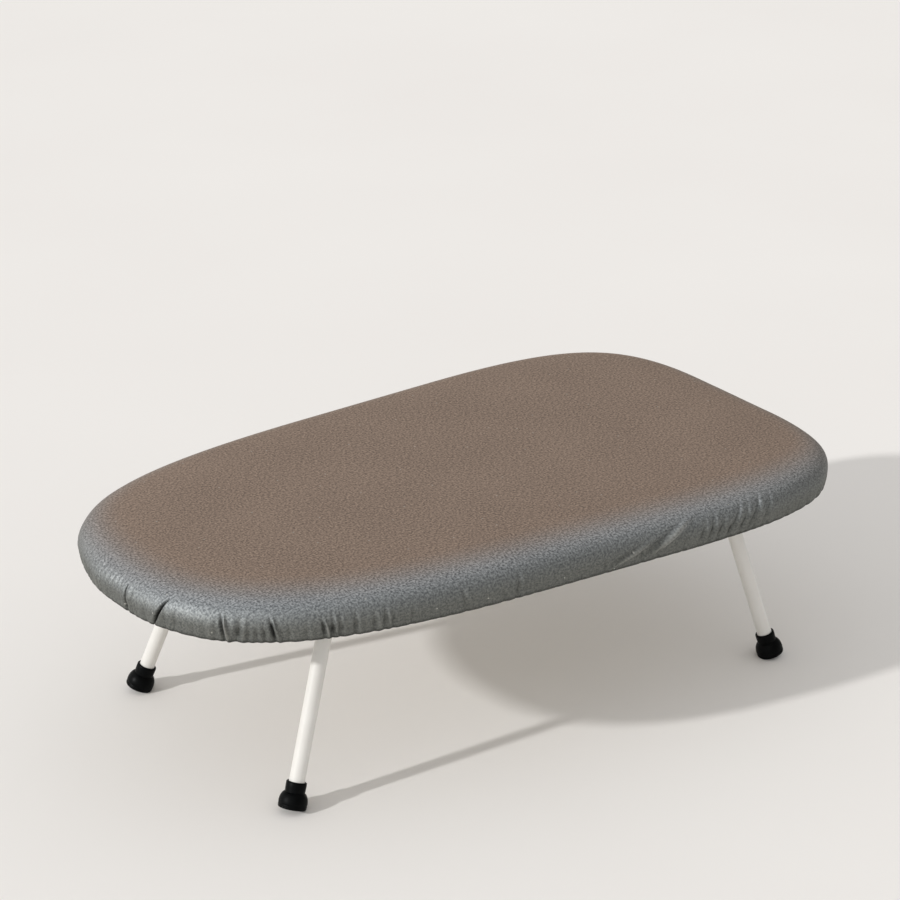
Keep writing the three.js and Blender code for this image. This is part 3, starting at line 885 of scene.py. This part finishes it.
@dataclass
class GatheredCover:
    """The cloth cover: crowned on top, drawn over the edge, gathered at its skirt and turned under."""

    outline: Outline
    top: float
    proud: float = 0.0015
    crown_width: float = 0.040
    crown_turn: float = 4
    stretches: tuple[Stretch, ...] = (
        Stretch("shoulder", 0.0120, 22, 8),
        Stretch("bend", 0.0175, 100, 14),
        Stretch("skirt", 0.0088, 100, 8),
        Stretch("fold", 0.0049, 180, 8),
        Stretch("hem", 0.0176, 180, 5),
        Stretch("channel", 0.0057, 360, 6),
        Stretch("return", 0.0070, 360, 2),
    )
    thickness: float = 0.0008
    columns: int = 2400
    crown_rows: int = 7
    middle_rows: int = 4
    profile_samples: int = 4000
    deepest: float = 0.0044
    hem_deepest: float = 0.0004
    hem_calm: float = 0.85  # the share of each fold that the elastic's pull takes out of the hem
    fold_foot: float = 1.15  # a fold's breadth at the lower edge, in widths, and what it loses up the cloth
    fold_taper: float = 0.45
    seed: int = 7
    gather_apart_mm: tuple[float, float] = (6, 19)  # ranges that the seeded gathers are drawn from
    gather_rise_mm: tuple[float, float] = (14, 22)
    gather_lean_mm: float = 2
    gather_depth_mm: tuple[float, float] = (0.5, 1.3)
    gather_width_mm: tuple[float, float] = (1.6, 2.6)
    gather_clear: float = 0.0045  # no seeded gather starts closer than this to a placed fold
    nose_tip: float = 0.042  # how far from its tip the nose has closer, longer and narrower gathers
    wave_counts: tuple[int, int] = (14, 34)  # broad waves round the whole skirt
    wave_mm: tuple[float, float] = (0.08, 0.2)
    wave_number: int = 6
    ironed_start: float = -0.019  # insets between which a painted warm reflection comes in towards the face
    ironed_full: float = 0.034
    ironed_shift: tuple[float, float] = (0.012, 0.016)
    dust_depths: tuple[float, float] = (0.0009, 0.0034)  # depths between which painted shade darkens the folds
    # strength of the painted shade along the lower edge
    edge_dust: float = 0.6
    edge_below: float = 0.0014  # where below the skirt the painted shade of the lower edge lies, and how wide it is
    edge_width: float = 0.0017
    # strength of the painted highlight on the crests
    crest_shine: float = 0.2
    crest_heights: tuple[float, float] = (0.0006, 0.0018)  # heights between which a painted highlight brightens the crests

    def __post_init__(self) -> None:
        """Follows the smooth cloth down from the crown and draws the folds that the seed gives."""
        ends = np.cumsum([stretch.length for stretch in self.stretches])
        self.ends = {stretch.title: float(end) for stretch, end in zip(self.stretches, ends)}
        self.lower_edge = (self.ends["skirt"] + self.ends["fold"]) / 2
        self.followed = np.linspace(0, ends[-1], self.profile_samples)
        turns = [self.crown_turn, *(stretch.turn for stretch in self.stretches)]
        self.turned = np.radians(np.interp(self.followed, [0, *ends], turns))
        step = self.followed[1]
        out = np.cumsum(np.cos(self.turned)) * step
        self.insets = out.max() - out - self.proud
        self.heights = self.top - np.cumsum(np.sin(self.turned)) * step
        random = np.random.default_rng(self.seed)
        self.folds = [*SEEN_FOLDS, *self.drawn_folds(random)]
        self.waves = [
            (
                random.integers(*self.wave_counts),
                random.uniform(0, 2 * math.pi),
                random.uniform(*self.wave_mm) * MM,
            )
            for _ in range(self.wave_number)
        ]

    def drawn_folds(self, random: np.random.Generator) -> list[Fold]:
        """Spreads irregular gathers round the skirt, closer and longer at the tip of the nose.

        Args:
            random: the seeded source of their places and sizes.

        Returns:
            The gathers that keep clear of the folds already placed.
        """
        folds = []
        taken = np.array([fold.travel for fold in SEEN_FOLDS])
        around = self.outline.perimeter
        travel = 0.0
        while travel < around - 8 * MM:
            tip = hump(min(travel, around - travel), 0, self.nose_tip)
            travel += random.uniform(*self.gather_apart_mm) * MM * (1 - 0.5 * tip)
            rise = random.uniform(*self.gather_rise_mm) * MM * (1 + 0.5 * tip)
            lean = random.normal(0, self.gather_lean_mm) * MM
            depth = random.uniform(*self.gather_depth_mm) * MM
            width = random.uniform(*self.gather_width_mm) * MM * (1 - 0.35 * tip)
            if np.min(np.abs(taken - travel)) > self.gather_clear:
                folds.append(Fold(travel, rise, lean, depth, width))
        return folds

    def profile(self, reach: Points) -> tuple[Points, ...]:
        """Looks up the smooth cloth below the crown, without its folds.

        Args:
            reach: distances down the cloth.

        Returns:
            How far inside the outline and how high the cloth lies, and how far it has turned from level.
        """
        kept = (self.insets, self.heights, self.turned)
        return tuple(np.interp(reach, self.followed, values) for values in kept)

    def crown(self, inset: Points) -> Points:
        """Gives the height of the padded top over its edge.

        Args:
            inset: how far inside the outline the places lie.

        Returns:
            The height above the edge of the crown.
        """
        share = np.clip((inset - self.insets[0]) / self.crown_width, 0, 1)
        rise = math.tan(math.radians(self.crown_turn)) * self.crown_width / 2
        return rise * (1 - (1 - share) ** 2)

    def relief(self, travel: Points, reach: Points) -> Points:
        """Adds up the folds and the broad waves of the skirt.

        Args:
            travel: distances round the outline.
            reach: distances down the cloth, of the same shape.

        Returns:
            How far the cloth stands out from its smooth shape.
        """
        around = self.outline.perimeter
        out = np.zeros(reach.shape)
        low = smooth_step(self.ends["shoulder"], self.ends["bend"], reach)
        for count, phase, size in self.waves:
            out += size * low * np.sin(2 * math.pi * count * travel / around + phase)
        for fold in self.folds:
            climb = np.clip((self.lower_edge - reach) / fold.rise, -0.4, 1.4)
            apart = np.mod(travel - fold.travel - fold.lean * climb + around / 2, around) - around / 2
            near = np.abs(apart) < fold.spread()
            climb = climb[near]
            breadth = fold.width * (self.fold_foot - self.fold_taper * np.clip(climb, 0, 1))
            out[near] += fold.section(apart[near] / breadth, climb)
        under = smooth_step(self.ends["skirt"] - 5 * MM, self.ends["fold"], reach)
        hidden = smooth_step(self.ends["hem"], self.ends["channel"], reach)
        floor = -self.deepest * (1 - under) - self.hem_deepest * under
        return np.maximum(out * (1 - self.hem_calm * under), floor) * (1 - hidden)

    def surface(self, travel: Points, reach: Points) -> Points:
        """Finds places on the gathered cloth.

        Args:
            travel: distances round the outline.
            reach: distances down the cloth, of the same shape.

        Returns:
            One point for each pair.
        """
        inset, height, turned = self.profile(reach)
        out = self.relief(travel, reach)
        inset = inset - out * np.sin(turned)
        flat = self.outline.at(travel) + self.outline.inward(travel) * inset[..., None]
        return np.concatenate([flat, (height + out * np.cos(turned))[..., None]], -1)

    def wear(self, travel: Points, reach: Points) -> tuple[Points, Points]:
        """Tells where painted shade darkens the folds and the lower edge, and where painted highlights
        brighten the crests.

        Args:
            travel: distances round the outline.
            reach: distances down the cloth, of the same shape.

        Returns:
            Shares from 0 to 1 of the painted shade and of the painted highlight, which lies on the crests.
        """
        relief = self.relief(travel, reach)
        sunk = smooth_step(*self.dust_depths, -relief)
        edge = self.edge_dust * hump(reach, self.ends["skirt"] + self.edge_below, self.edge_width)
        return np.maximum(sunk, edge), self.crest_shine * smooth_step(*self.crest_heights, relief)

    def rows_down(self) -> Points:
        """Lists the rows of the skirt, closer together where the cloth turns sharply.

        Returns:
            The reach of each row.
        """
        starts = [0, *self.ends.values()]
        rows = [
            np.linspace(start, end, stretch.rows, endpoint=False)
            for start, end, stretch in zip(starts, self.ends.values(), self.stretches)
        ]
        return np.concatenate([*rows, [starts[-1]]])

    def columns_round(self) -> Points:
        """Spreads the columns round the outline, closer together at the sharp folds.

        Returns:
            The travel of each column.
        """
        even = np.linspace(0, self.outline.perimeter, 8 * self.columns)
        density = np.ones_like(even)
        for fold in SEEN_FOLDS:
            middle = fold.travel + fold.lean * 0.5
            spread = 5 * MM + abs(fold.lean) * 0.4
            density += EXTRA_COLUMNS[fold.shape] * hump(even, middle, spread)
        share = np.concatenate([[0], np.cumsum((density[1:] + density[:-1]) / 2)])
        wanted = np.linspace(0, share[-1], self.columns, endpoint=False)
        return np.interp(wanted, share, even)

    def top_rows(self, travel: Points) -> tuple[Points, Points]:
        """Draws the crowned top, from its middle out to where the shoulder begins.

        Args:
            travel: the travel of each column.

        Returns:
            The points and how far inside the outline each lies.
        """
        edge = self.insets[0]
        insets = np.linspace(edge + self.crown_width, edge, self.crown_rows, endpoint=False)[:, None]
        insets = np.broadcast_to(insets, (self.crown_rows, self.columns))
        level = self.outline.at(travel) + self.outline.inward(travel) * insets[..., None]
        shares = np.linspace(0.05, 1, self.middle_rows, endpoint=False)[:, None, None]
        middle = level[0] * shares
        points = np.concatenate([middle, level])
        insets = np.concatenate([np.full(middle.shape[:2], edge + self.crown_width), insets])
        heights = self.top + self.crown(insets)
        return np.concatenate([points, heights[..., None]], -1), insets

    def build(self, pad: Piece) -> Piece:
        """Makes the cover and its hem stitching.

        Args:
            pad: the pad that it is drawn over; not used.

        Returns:
            The cover.
        """
        travel = self.columns_round()
        around, down = np.meshgrid(travel, self.rows_down())
        skirt = self.surface(around, down)
        top, top_insets = self.top_rows(travel)
        cut = self.insets[0] - down
        inward = self.outline.inward(around)
        skirt_cut = self.outline.at(around) + inward * cut[..., None]
        skirt_flat = np.concatenate([skirt_cut, np.zeros_like(cut)[..., None]], -1)
        points = np.concatenate([top, skirt])
        flat = np.concatenate([top * (1, 1, 0), skirt_flat])
        cuts = np.concatenate([top_insets, cut])
        inward = np.concatenate([np.broadcast_to(inward[0], (len(top), self.columns, 2)), inward])
        faces = grid_faces(len(points), self.columns)
        faces.append(tuple(range(self.columns)))
        mesh = new_mesh("cover_cloth", points.reshape(-1, 3), faces)
        cover = add_piece("cover_cloth", mesh, COVER_CLOTH, "board", ("cover",), 180)
        mark(cover, "cloth_flat", flat.reshape(-1, 3))
        # painted warm reflection on the face; it reaches nearer the edge on the +Y side and at the tail
        shifted = cuts - inward @ np.array(self.ironed_shift)
        mark(cover, "ironed", smooth_step(self.ironed_start, self.ironed_full, shifted).ravel())
        reach = self.insets[0] - cuts
        # painted shade that darkens the skirt down from its shoulder; the same mask also evens out its
        # speckle
        mark(cover, "dulled", smooth_step(2 * MM, self.ends["bend"] + 3 * MM, reach).ravel())
        # painted shade in the folds and along the lower edge, and painted highlights on the crests
        for name, share in zip(("folded", "worn"), self.wear(around, down)):
            mark(cover, name, np.concatenate([np.zeros_like(top_insets), share]).ravel())
        thicken = cover.modifiers.new("cloth_thickness", "SOLIDIFY")
        thicken.thickness = self.thickness
        thicken.offset = -1
        stitches = self.stitch_hem()
        grow = self.ends["return"] - self.insets[0]
        self.outline.area(grow)
        return cover

    def stitch_hem(self) -> Piece:
        """Sews a row of stitches along the elastic's channel, on the underside.

        Returns:
            The stitches, as one piece.
        """
        pitch, length, thread = 4.2 * MM, 3.0 * MM, 0.5 * MM
        sides = 6
        shares = np.array([-0.5, -0.3, 0.3, 0.5])
        swells = np.array([0.35, 1, 1, 0.35])
        middles = np.arange(0, self.outline.perimeter - pitch / 2, pitch)
        travel = (middles[:, None] + shares * length).ravel()
        reach = np.full(travel.shape, (self.ends["fold"] + self.ends["hem"]) / 2)
        spots = self.surface(travel, reach)[:, None]
        inward = self.outline.inward(travel)[:, None]
        swell = np.tile(swells, len(middles))[:, None]
        turns = -np.arange(sides) * 2 * math.pi / sides
        level = spots[..., :2] + inward * (np.cos(turns) * thread / 2 * swell)[..., None]
        height = spots[..., 2] + (np.sin(turns) * thread / 2 - 0.25 * thread) * swell
        points = np.concatenate([level, height[..., None]], -1).reshape(-1, 3)
        stitch = tube_faces(len(shares), sides)
        starts = range(0, len(points), sides * len(shares))
        faces = [tuple(i + start for i in face) for start in starts for face in stitch]
        return add_piece("hem_stitching", new_mesh("hem_stitching", points, faces), ELASTIC, "board")


@dataclass
class FeltPad:
    """The felt pad: it fills the cover's crown and shoulder, lies on the steel and hangs over the rim."""

    cover: GatheredCover
    columns: int = 360
    ease: float = 0.0012
    fold_room: float = 0.0034
    border: float = 0.0033
    corner: float = 0.001
    fibre_height: float = 0.00012
    seed: int = 3

    def sections(self) -> list[tuple[float, float]]:
        """Draws the pad's section from the middle of its top, round its border to the middle underneath.

        Returns:
            Insets and heights.
        """
        (cover_low, _), (low, _), (_, steel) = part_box("cover"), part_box("pad"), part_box("mesh_top")
        limit = low.x - cover_low.x
        underside = steel.z + 0.3 * MM
        crown_start = self.cover.insets[0] + self.cover.crown_width
        section = []
        for inset in np.linspace(crown_start, self.cover.insets[0], 6):
            section.append((inset, self.cover.top + self.cover.crown(inset) - self.ease))
        for reach in np.linspace(0, self.cover.ends["bend"], 15)[1:]:
            inset, height, turned = self.cover.profile(reach)
            ease = self.ease + self.fold_room * float(smooth_step(0, self.cover.ends["shoulder"], reach))
            section.append((max(inset + ease * math.sin(turned), limit), height - ease * math.cos(turned)))
        return section + [
            (limit, low.z + self.corner),
            (limit + self.corner, low.z),
            (limit + self.border - self.corner, low.z),
            (limit + self.border, low.z + self.corner),
            (limit + self.border, underside - self.corner / 2),
            (limit + self.border + self.corner * 2, underside),
            (crown_start, underside),
        ]

    def build(self) -> Piece:
        """Lofts the pad with a faintly lumpy skin.

        Returns:
            The pad.
        """
        loops = [self.cover.outline.loop(inset, height, self.columns) for inset, height in self.sections()]
        lumps = [self.fibre_height] * len(loops)
        for share in (0.7, 0.35, 0.05):
            loops = [loops[0] * (share, share, 1), *loops, loops[-1] * (share, share, 1)]
            lumps = [lumps[0] * share, *lumps, lumps[-1] * share]
        points = np.concatenate(loops)
        random = np.random.default_rng(self.seed)
        points += random.normal(0, 1, points.shape) * np.repeat(lumps, self.columns)[:, None] * (1, 1, 0.5)
        mesh = new_mesh("felt_pad", points, tube_faces(len(loops), self.columns))
        pad = add_piece("felt_pad", mesh, FELT, "board", ("pad",), 180)
        return pad


@dataclass
class RimAndElastic:
    """The upright steel rim of the top and the elastic band in the cover's hem."""

    outline: Outline
    columns: int = 420
    rim_thickness: float = 0.0015
    rim_corner: float = 0.0004
    elastic_width: float = 0.006
    elastic_corner: float = 0.0003

    def hoop(self, name: str, node: str, width: float, corner: float) -> Mesh:
        """Lofts a hoop with eased corners in the space of a solid.

        Args:
            name: name of the piece.
            node: the solid that it stands for.
            width: how far it reaches inwards.
            corner: how much its corners are eased.

        Returns:
            The hoop's mesh.
        """
        (cover_low, _), (low, high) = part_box("cover"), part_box(node)
        outer = low.x - cover_low.x
        inner = outer + width
        section = (
            (outer, high.z - corner),
            (outer, low.z + corner),
            (outer + corner, low.z),
            (inner - corner, low.z),
            (inner, low.z + corner),
            (inner, high.z - corner),
            (inner - corner, high.z),
            (outer + corner, high.z),
        )
        loops = [self.outline.loop(inset, height, self.columns) for inset, height in section]
        faces = grid_faces(len(loops), self.columns, close_rows=True)
        return new_mesh(name, np.concatenate(loops), faces)

    def build(self) -> None:
        """Makes the rim and the elastic."""
        mesh = self.hoop("rim_strip", "rim_frame", self.rim_thickness, self.rim_corner)
        add_piece("rim_strip", mesh, WHITE_COAT, "board", ("rim_frame",))
        mesh = self.hoop("hem_band", "hem_elastic", self.elastic_width, self.elastic_corner)
        band = add_piece("hem_band", mesh, ELASTIC, "board", ("hem_elastic",))
        travel = np.linspace(0, self.outline.perimeter, self.columns, endpoint=False)
        mark(band, "travel", np.tile(travel, len(mesh.vertices) // self.columns))


@dataclass
class Hardware:
    """The pressed steel top, the cross rails, bushes, straps and rivets under the board."""

    sheet_edge: float = 0.00025
    rail_edge: float = 0.0004
    strap_edge: float = 0.00035
    bush_edge: float = 0.0005
    rivet_head: float = 0.0037
    rivet_rise: float = 0.0018
    rivet_shank: float = 0.002
    rivet_clinch: float = 0.003
    rivet_sides: int = 28
    sharp: float = math.radians(40)

    def eased(self, name: str, node: str, edge: float, finish: Finish) -> None:
        """Makes a piece from a solid, with its sharp edges rounded over.

        Args:
            name: name of the piece.
            node: the solid that it stands for.
            edge: radius of the rounding.
            finish: what its surface is.
        """
        shape = bmesh.new()
        shape.from_mesh(frame["nodes"][node].data)
        bmesh.ops.remove_doubles(shape, verts=shape.verts, dist=0.01 * MM)
        bmesh.ops.dissolve_limit(
            shape, angle_limit=math.radians(1), verts=shape.verts, edges=shape.edges, delimit={"NORMAL"}
        )
        sharp = [e for e in shape.edges if len(e.link_faces) == 2 and e.calc_face_angle() > self.sharp]
        bmesh.ops.bevel(
            shape,
            geom=sharp,
            offset=edge,
            segments=2,
            profile=0.5,
            affect="EDGES",
            clamp_overlap=True,
            harden_normals=False,
        )
        mesh = bpy.data.meshes.new(node)
        shape.to_mesh(mesh)
        shape.free()
        add_piece(name, mesh, finish, "board", (node,))

    def rivet(self, name: str, node: str) -> None:
        """Turns a domed rivet head with its shank hidden in the strap.

        Args:
            name: name of the piece.
            node: the solid that it stands for.
        """
        low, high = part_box(node)
        centre = (low + high) / 2
        top = low.z + self.rivet_rise
        section = [
            (self.rivet_head * math.sin(a), low.z + self.rivet_rise * (1 - math.cos(a)))
            for a in np.linspace(0, math.pi / 2, 7)[1:]
        ]
        section += [
            (self.rivet_head * 0.97, top + 0.1 * MM),
            (self.rivet_shank, top + 0.12 * MM),
            (self.rivet_shank, high.z - 1.5 * MM),
            (self.rivet_clinch, high.z),
        ]
        points, faces = revolve(section, self.rivet_sides)
        mesh = new_mesh(name, points + (centre.x, centre.y, 0), faces)
        add_piece(name, mesh, ZINC, "board", (node,))

    def build(self) -> None:
        """Makes every piece of the underside that doesn't fold."""
        self.eased("expanded_mesh", "mesh_top", self.sheet_edge, WHITE_COAT)
        for end in End:
            self.eased(f"{end}_rail", f"{end}_cross_rail", self.rail_edge, WHITE_COAT)
            for side in Side:
                self.eased(f"{end}_{side}_bush", f"bush_{end}_{side}", self.bush_edge, NYLON)
                self.eased(f"{end}_{side}_strap", f"strap_{end}_{side}", self.strap_edge, ZINC)
                for place in ("outer", "inner"):
                    self.rivet(f"{end}_{side}_{place}_rivet", f"rivet_{end}_{side}_{place}")


@dataclass
class FoldingLeg:
    """One bent tube with its two rubber feet, which folds about its crossbar."""

    end: End
    lean: float
    foot_spread: float
    flare: float = math.radians(9.3)
    tube_radius: float = 0.006
    bend_radius: float = 0.025
    bend_steps: int = 14
    tube_sides: int = 36
    foot_sides: int = 56
    foot_radius: float = 0.011
    collar_radius: float = 0.0078
    foot_height: float = 0.0204
    sole_corner: float = 0.0008
    flat_depth: float = 0.0012
    foot_floor: float = 0.0053
    foot_crease: float = 50
    bell_start: float = 0.0045
    bell_rise: float = 0.0083
    bell_turn: float = 1.25  # the angle, in radians, by which the bell's side has turned in at its top

    def __post_init__(self) -> None:
        """Takes the crossbar's place from the joint and works out the length of the leg."""
        self.body = f"{self.end}_leg_frame"
        joint = next(j for j in frame["joints"] if j["name"] == f"{self.end}_leg_fold")
        self.hinge = Vector(joint["pos_m"])
        tilt = math.acos(math.cos(self.lean) * math.cos(self.flare))
        sole = (self.foot_radius - self.sole_corner) * math.sin(tilt)
        self.reach = (self.hinge.z + self.flat_depth - sole) / math.cos(self.lean)
        turn = Matrix.Rotation(-self.end.value * self.lean, 4, "Y")
        self.stand = Matrix.Translation(self.hinge) @ turn

    def middle_line(self) -> list[Vector]:
        """Draws the middle of the tube in the plane of the leg, from one foot to the other.

        Returns:
            Points along the tube.
        """
        corner = self.foot_spread / 2 - self.reach * math.tan(self.flare)
        bend_start = corner - self.bend_radius * math.tan((math.pi / 2 - self.flare) / 2)
        start_y = self.foot_spread / 2 - self.foot_floor * math.sin(self.flare)
        start_z = -self.reach + self.foot_floor * math.cos(self.flare)
        half = [Vector((0, start_y, start_z))]
        for angle in np.linspace(self.flare, math.pi / 2, self.bend_steps + 1):
            y = bend_start + self.bend_radius * math.cos(angle)
            half.append(Vector((0, y, self.bend_radius * (math.sin(angle) - 1))))
        return half + [Vector((0, -p.y, p.z)) for p in reversed(half)]

    def tube(self) -> None:
        """Sweeps the tube along its middle line."""
        line = self.middle_line()
        points = []
        for i, spot in enumerate(line):
            ahead = (line[min(i + 1, len(line) - 1)] - line[max(i - 1, 0)]).normalized()
            across = ahead.cross(Vector((1, 0, 0)))
            for turn in np.linspace(0, 2 * math.pi, self.tube_sides, endpoint=False):
                out = Vector((math.cos(turn), 0, 0)) - across * math.sin(turn)
                points.append(self.stand @ (spot + out * self.tube_radius))
        name = f"{self.end}_tube"
        mesh = new_mesh(name, np.array(points), tube_faces(len(line), self.tube_sides))
        add_piece(name, mesh, WHITE_COAT, self.body, (f"{self.end}_leg",))

    def bell(self, angle: float) -> float:
        """Gives the height of the foot's bell where its side has turned in by an angle."""
        return self.bell_start + self.bell_rise * math.sin(angle)

    def foot_section(self) -> list[tuple[float, float]]:
        """Draws half of a foot's section, from the sole's middle up the outside and into the bore.

        Returns:
            Radii and heights above the sole.
        """
        base, collar, bore = self.foot_radius, self.collar_radius, self.tube_radius + 0.12 * MM
        section = [
            (0.3 * base, 0),
            (base - 1.3 * MM, 0),
            (base - 0.6 * MM, 0.2 * MM),
            (base - 0.3 * MM, 0.7 * MM),
        ]
        for groove in (1.7 * MM, 3.2 * MM):
            section += [
                (base - 0.12 * MM, groove - 0.5 * MM),
                (base - 0.35 * MM, groove),
                (base - 0.08 * MM, groove + 0.5 * MM),
            ]
        neck = collar - 0.2 * MM
        last = math.cos(self.bell_turn)
        for angle in np.linspace(0, self.bell_turn, 9):
            share = (math.cos(angle) - last) / (1 - last)
            section.append((neck + (base - neck) * share, self.bell(angle)))
        section += [
            (neck, self.bell(self.bell_turn) + 0.6 * MM),
            (collar - 0.1 * MM, self.bell(self.bell_turn) + 1.6 * MM),
            (collar, 16.2 * MM),
            (collar, self.foot_height - 1.2 * MM),
            (collar - 0.15 * MM, self.foot_height - 0.5 * MM),
            (collar - 0.55 * MM, self.foot_height - 0.1 * MM),
            (collar - 1.0 * MM, self.foot_height),
            (bore + 0.2 * MM, self.foot_height - 0.05 * MM),
            (bore, self.foot_height - 0.4 * MM),
            (bore, self.foot_floor),
        ]
        return section

    def foot(self, side: Side) -> None:
        """Turns one foot and presses its sole flat on the table.

        Args:
            side: the side of the board that it stands on.
        """
        spot = Matrix.Translation((0, side.value * self.foot_spread / 2, -self.reach))
        place = self.stand @ spot @ Matrix.Rotation(side.value * self.flare, 4, "X")
        points, faces = revolve(self.foot_section(), self.foot_sides)
        points = np.array([place @ Vector(point) for point in points])
        points[:, 2] = np.maximum(points[:, 2], 0)
        name = f"{self.end}_{side}_foot"
        mesh = new_mesh(name, points, faces)
        add_piece(name, mesh, RUBBER, self.body, (f"foot_{self.end}_{side}",), self.foot_crease)

    def build(self) -> None:
        """Makes the tube and both feet."""
        self.tube()
        for side in Side:
            self.foot(side)


@dataclass
class Studio:
    """Floor, lights and camera."""

    floor_size: float = 30
    lens: float = 110.26
    sensor: float = 36
    eye: tuple[float, float, float] = (-1.12905, -1.64171, 1.04733)
    yaw: float = math.radians(55.401)
    pitch: float = math.radians(23.162)
    roll: float = math.radians(-0.373)
    key_way: tuple[float, float, float] = (-0.894, 0.096, 0.438)
    key_spread: float = math.radians(2.5)
    key_strength: float = 2.0
    sky: str = "#dcdcdc"
    backdrop: str = "#9c9a96"
    screen: str = "#ffffff"
    screen_way: tuple[float, float, float] = (-0.9, 0.3, 0.316)
    screen_edge: float = 0.0  # cosines of the angles from screen_way at which the screen begins and is full
    screen_full: float = 0.55

    def floor(self) -> None:
        """Lays the pale floor."""
        half = self.floor_size / 2
        corners = np.array([(-half, -half, 0), (half, -half, 0), (half, half, 0), (-half, half, 0)])
        mesh = new_mesh("floor", corners, [(0, 1, 2, 3)])
        mesh.materials.append(PAPER.material())
        floor = bpy.data.objects.new("floor", mesh)
        bpy.context.scene.collection.objects.link(floor)

    def key(self) -> None:
        """Hangs a soft key light off the nose."""
        lamp = bpy.data.lights.new("key", "SUN")
        lamp.angle = self.key_spread
        lamp.energy = self.key_strength
        key = bpy.data.objects.new("key", lamp)
        key.rotation_euler = Vector(self.key_way).to_track_quat("Z", "Y").to_euler()
        bpy.context.scene.collection.objects.link(key)

    def sky_and_backdrop(self) -> None:
        """Fills the shadows from an even sky.

        The backdrop, which the metallised cloth mirrors, is a grey one with a white screen off the nose.
        """
        world = bpy.data.worlds.new("studio")
        world.use_nodes = True
        tree = world.node_tree
        tree.nodes.clear()
        seen = add_node(tree, "LightPath", out="Is Camera Ray")
        path = seen.node.outputs
        for mirrored in (path["Is Glossy Ray"], path["Is Transmission Ray"]):
            either = {"Value": seen, "Value_001": mirrored}
            seen = add_node(tree, "Math", {"operation": "MAXIMUM"}, links=either)
        way = {"Vector": add_node(tree, "TexCoord", out="Generated")}
        screen = {"Vector_001": self.screen_way}
        facing = add_node(tree, "VectorMath", {"operation": "DOT_PRODUCT"}, screen, way, out="Value")
        reach = {"From Min": self.screen_edge, "From Max": self.screen_full}
        white = add_node(tree, "MapRange", {"interpolation_type": "SMOOTHSTEP"}, reach, {"Value": facing})
        greys = tones(self.backdrop, self.screen)
        backdrop = add_node(tree, "Mix", COLOURS, greys, {"Factor_Float": white})
        shown = {"Factor_Float": seen, "B_Color": backdrop}
        colour = add_node(tree, "Mix", COLOURS, {"A_Color": linear(self.sky)}, shown)
        light = add_node(tree, "Background", links={"Color": colour})
        add_node(tree, "OutputWorld", links={"Surface": light})
        bpy.context.scene.world = world

    def camera(self) -> None:
        """Sets the camera where the photograph was taken from."""
        flat = math.cos(self.pitch)
        forward = Vector((math.cos(self.yaw) * flat, math.sin(self.yaw) * flat, -math.sin(self.pitch)))
        level = Vector((math.sin(self.yaw), -math.cos(self.yaw), 0))
        above = level.cross(forward)
        right = math.cos(self.roll) * level + math.sin(self.roll) * above
        up = math.cos(self.roll) * above - math.sin(self.roll) * level
        data = bpy.data.cameras.new("camera")
        data.lens = self.lens
        data.sensor_width = self.sensor
        camera = bpy.data.objects.new("camera", data)
        turn = Matrix((right, up, -forward)).transposed().to_4x4()
        camera.matrix_world = Matrix.Translation(self.eye) @ turn
        bpy.context.scene.collection.objects.link(camera)
        bpy.context.scene.camera = camera

    def build(self) -> None:
        """Makes the studio and keeps colours as they are written."""
        self.floor()
        self.key()
        self.sky_and_backdrop()
        self.camera()
        bpy.context.scene.view_settings.view_transform = "Standard"


def main() -> None:
    """Builds the board piece by piece."""
    logging.basicConfig(level=logging.INFO, format="%(name)s %(message)s")
    low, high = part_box("cover")
    outline = Outline(length=high.x - low.x)
    Studio().build()
    cover = GatheredCover(outline, top=high.z)
    pad = FeltPad(cover).build()
    cover.build(pad)
    RimAndElastic(outline).build()
    Hardware().build()
    FoldingLeg(End.NOSE, lean=math.radians(20.4), foot_spread=0.2338).build()
    FoldingLeg(End.TAIL, lean=math.radians(14.4), foot_spread=0.2632).build()


if __name__ == "__main__":
    main()
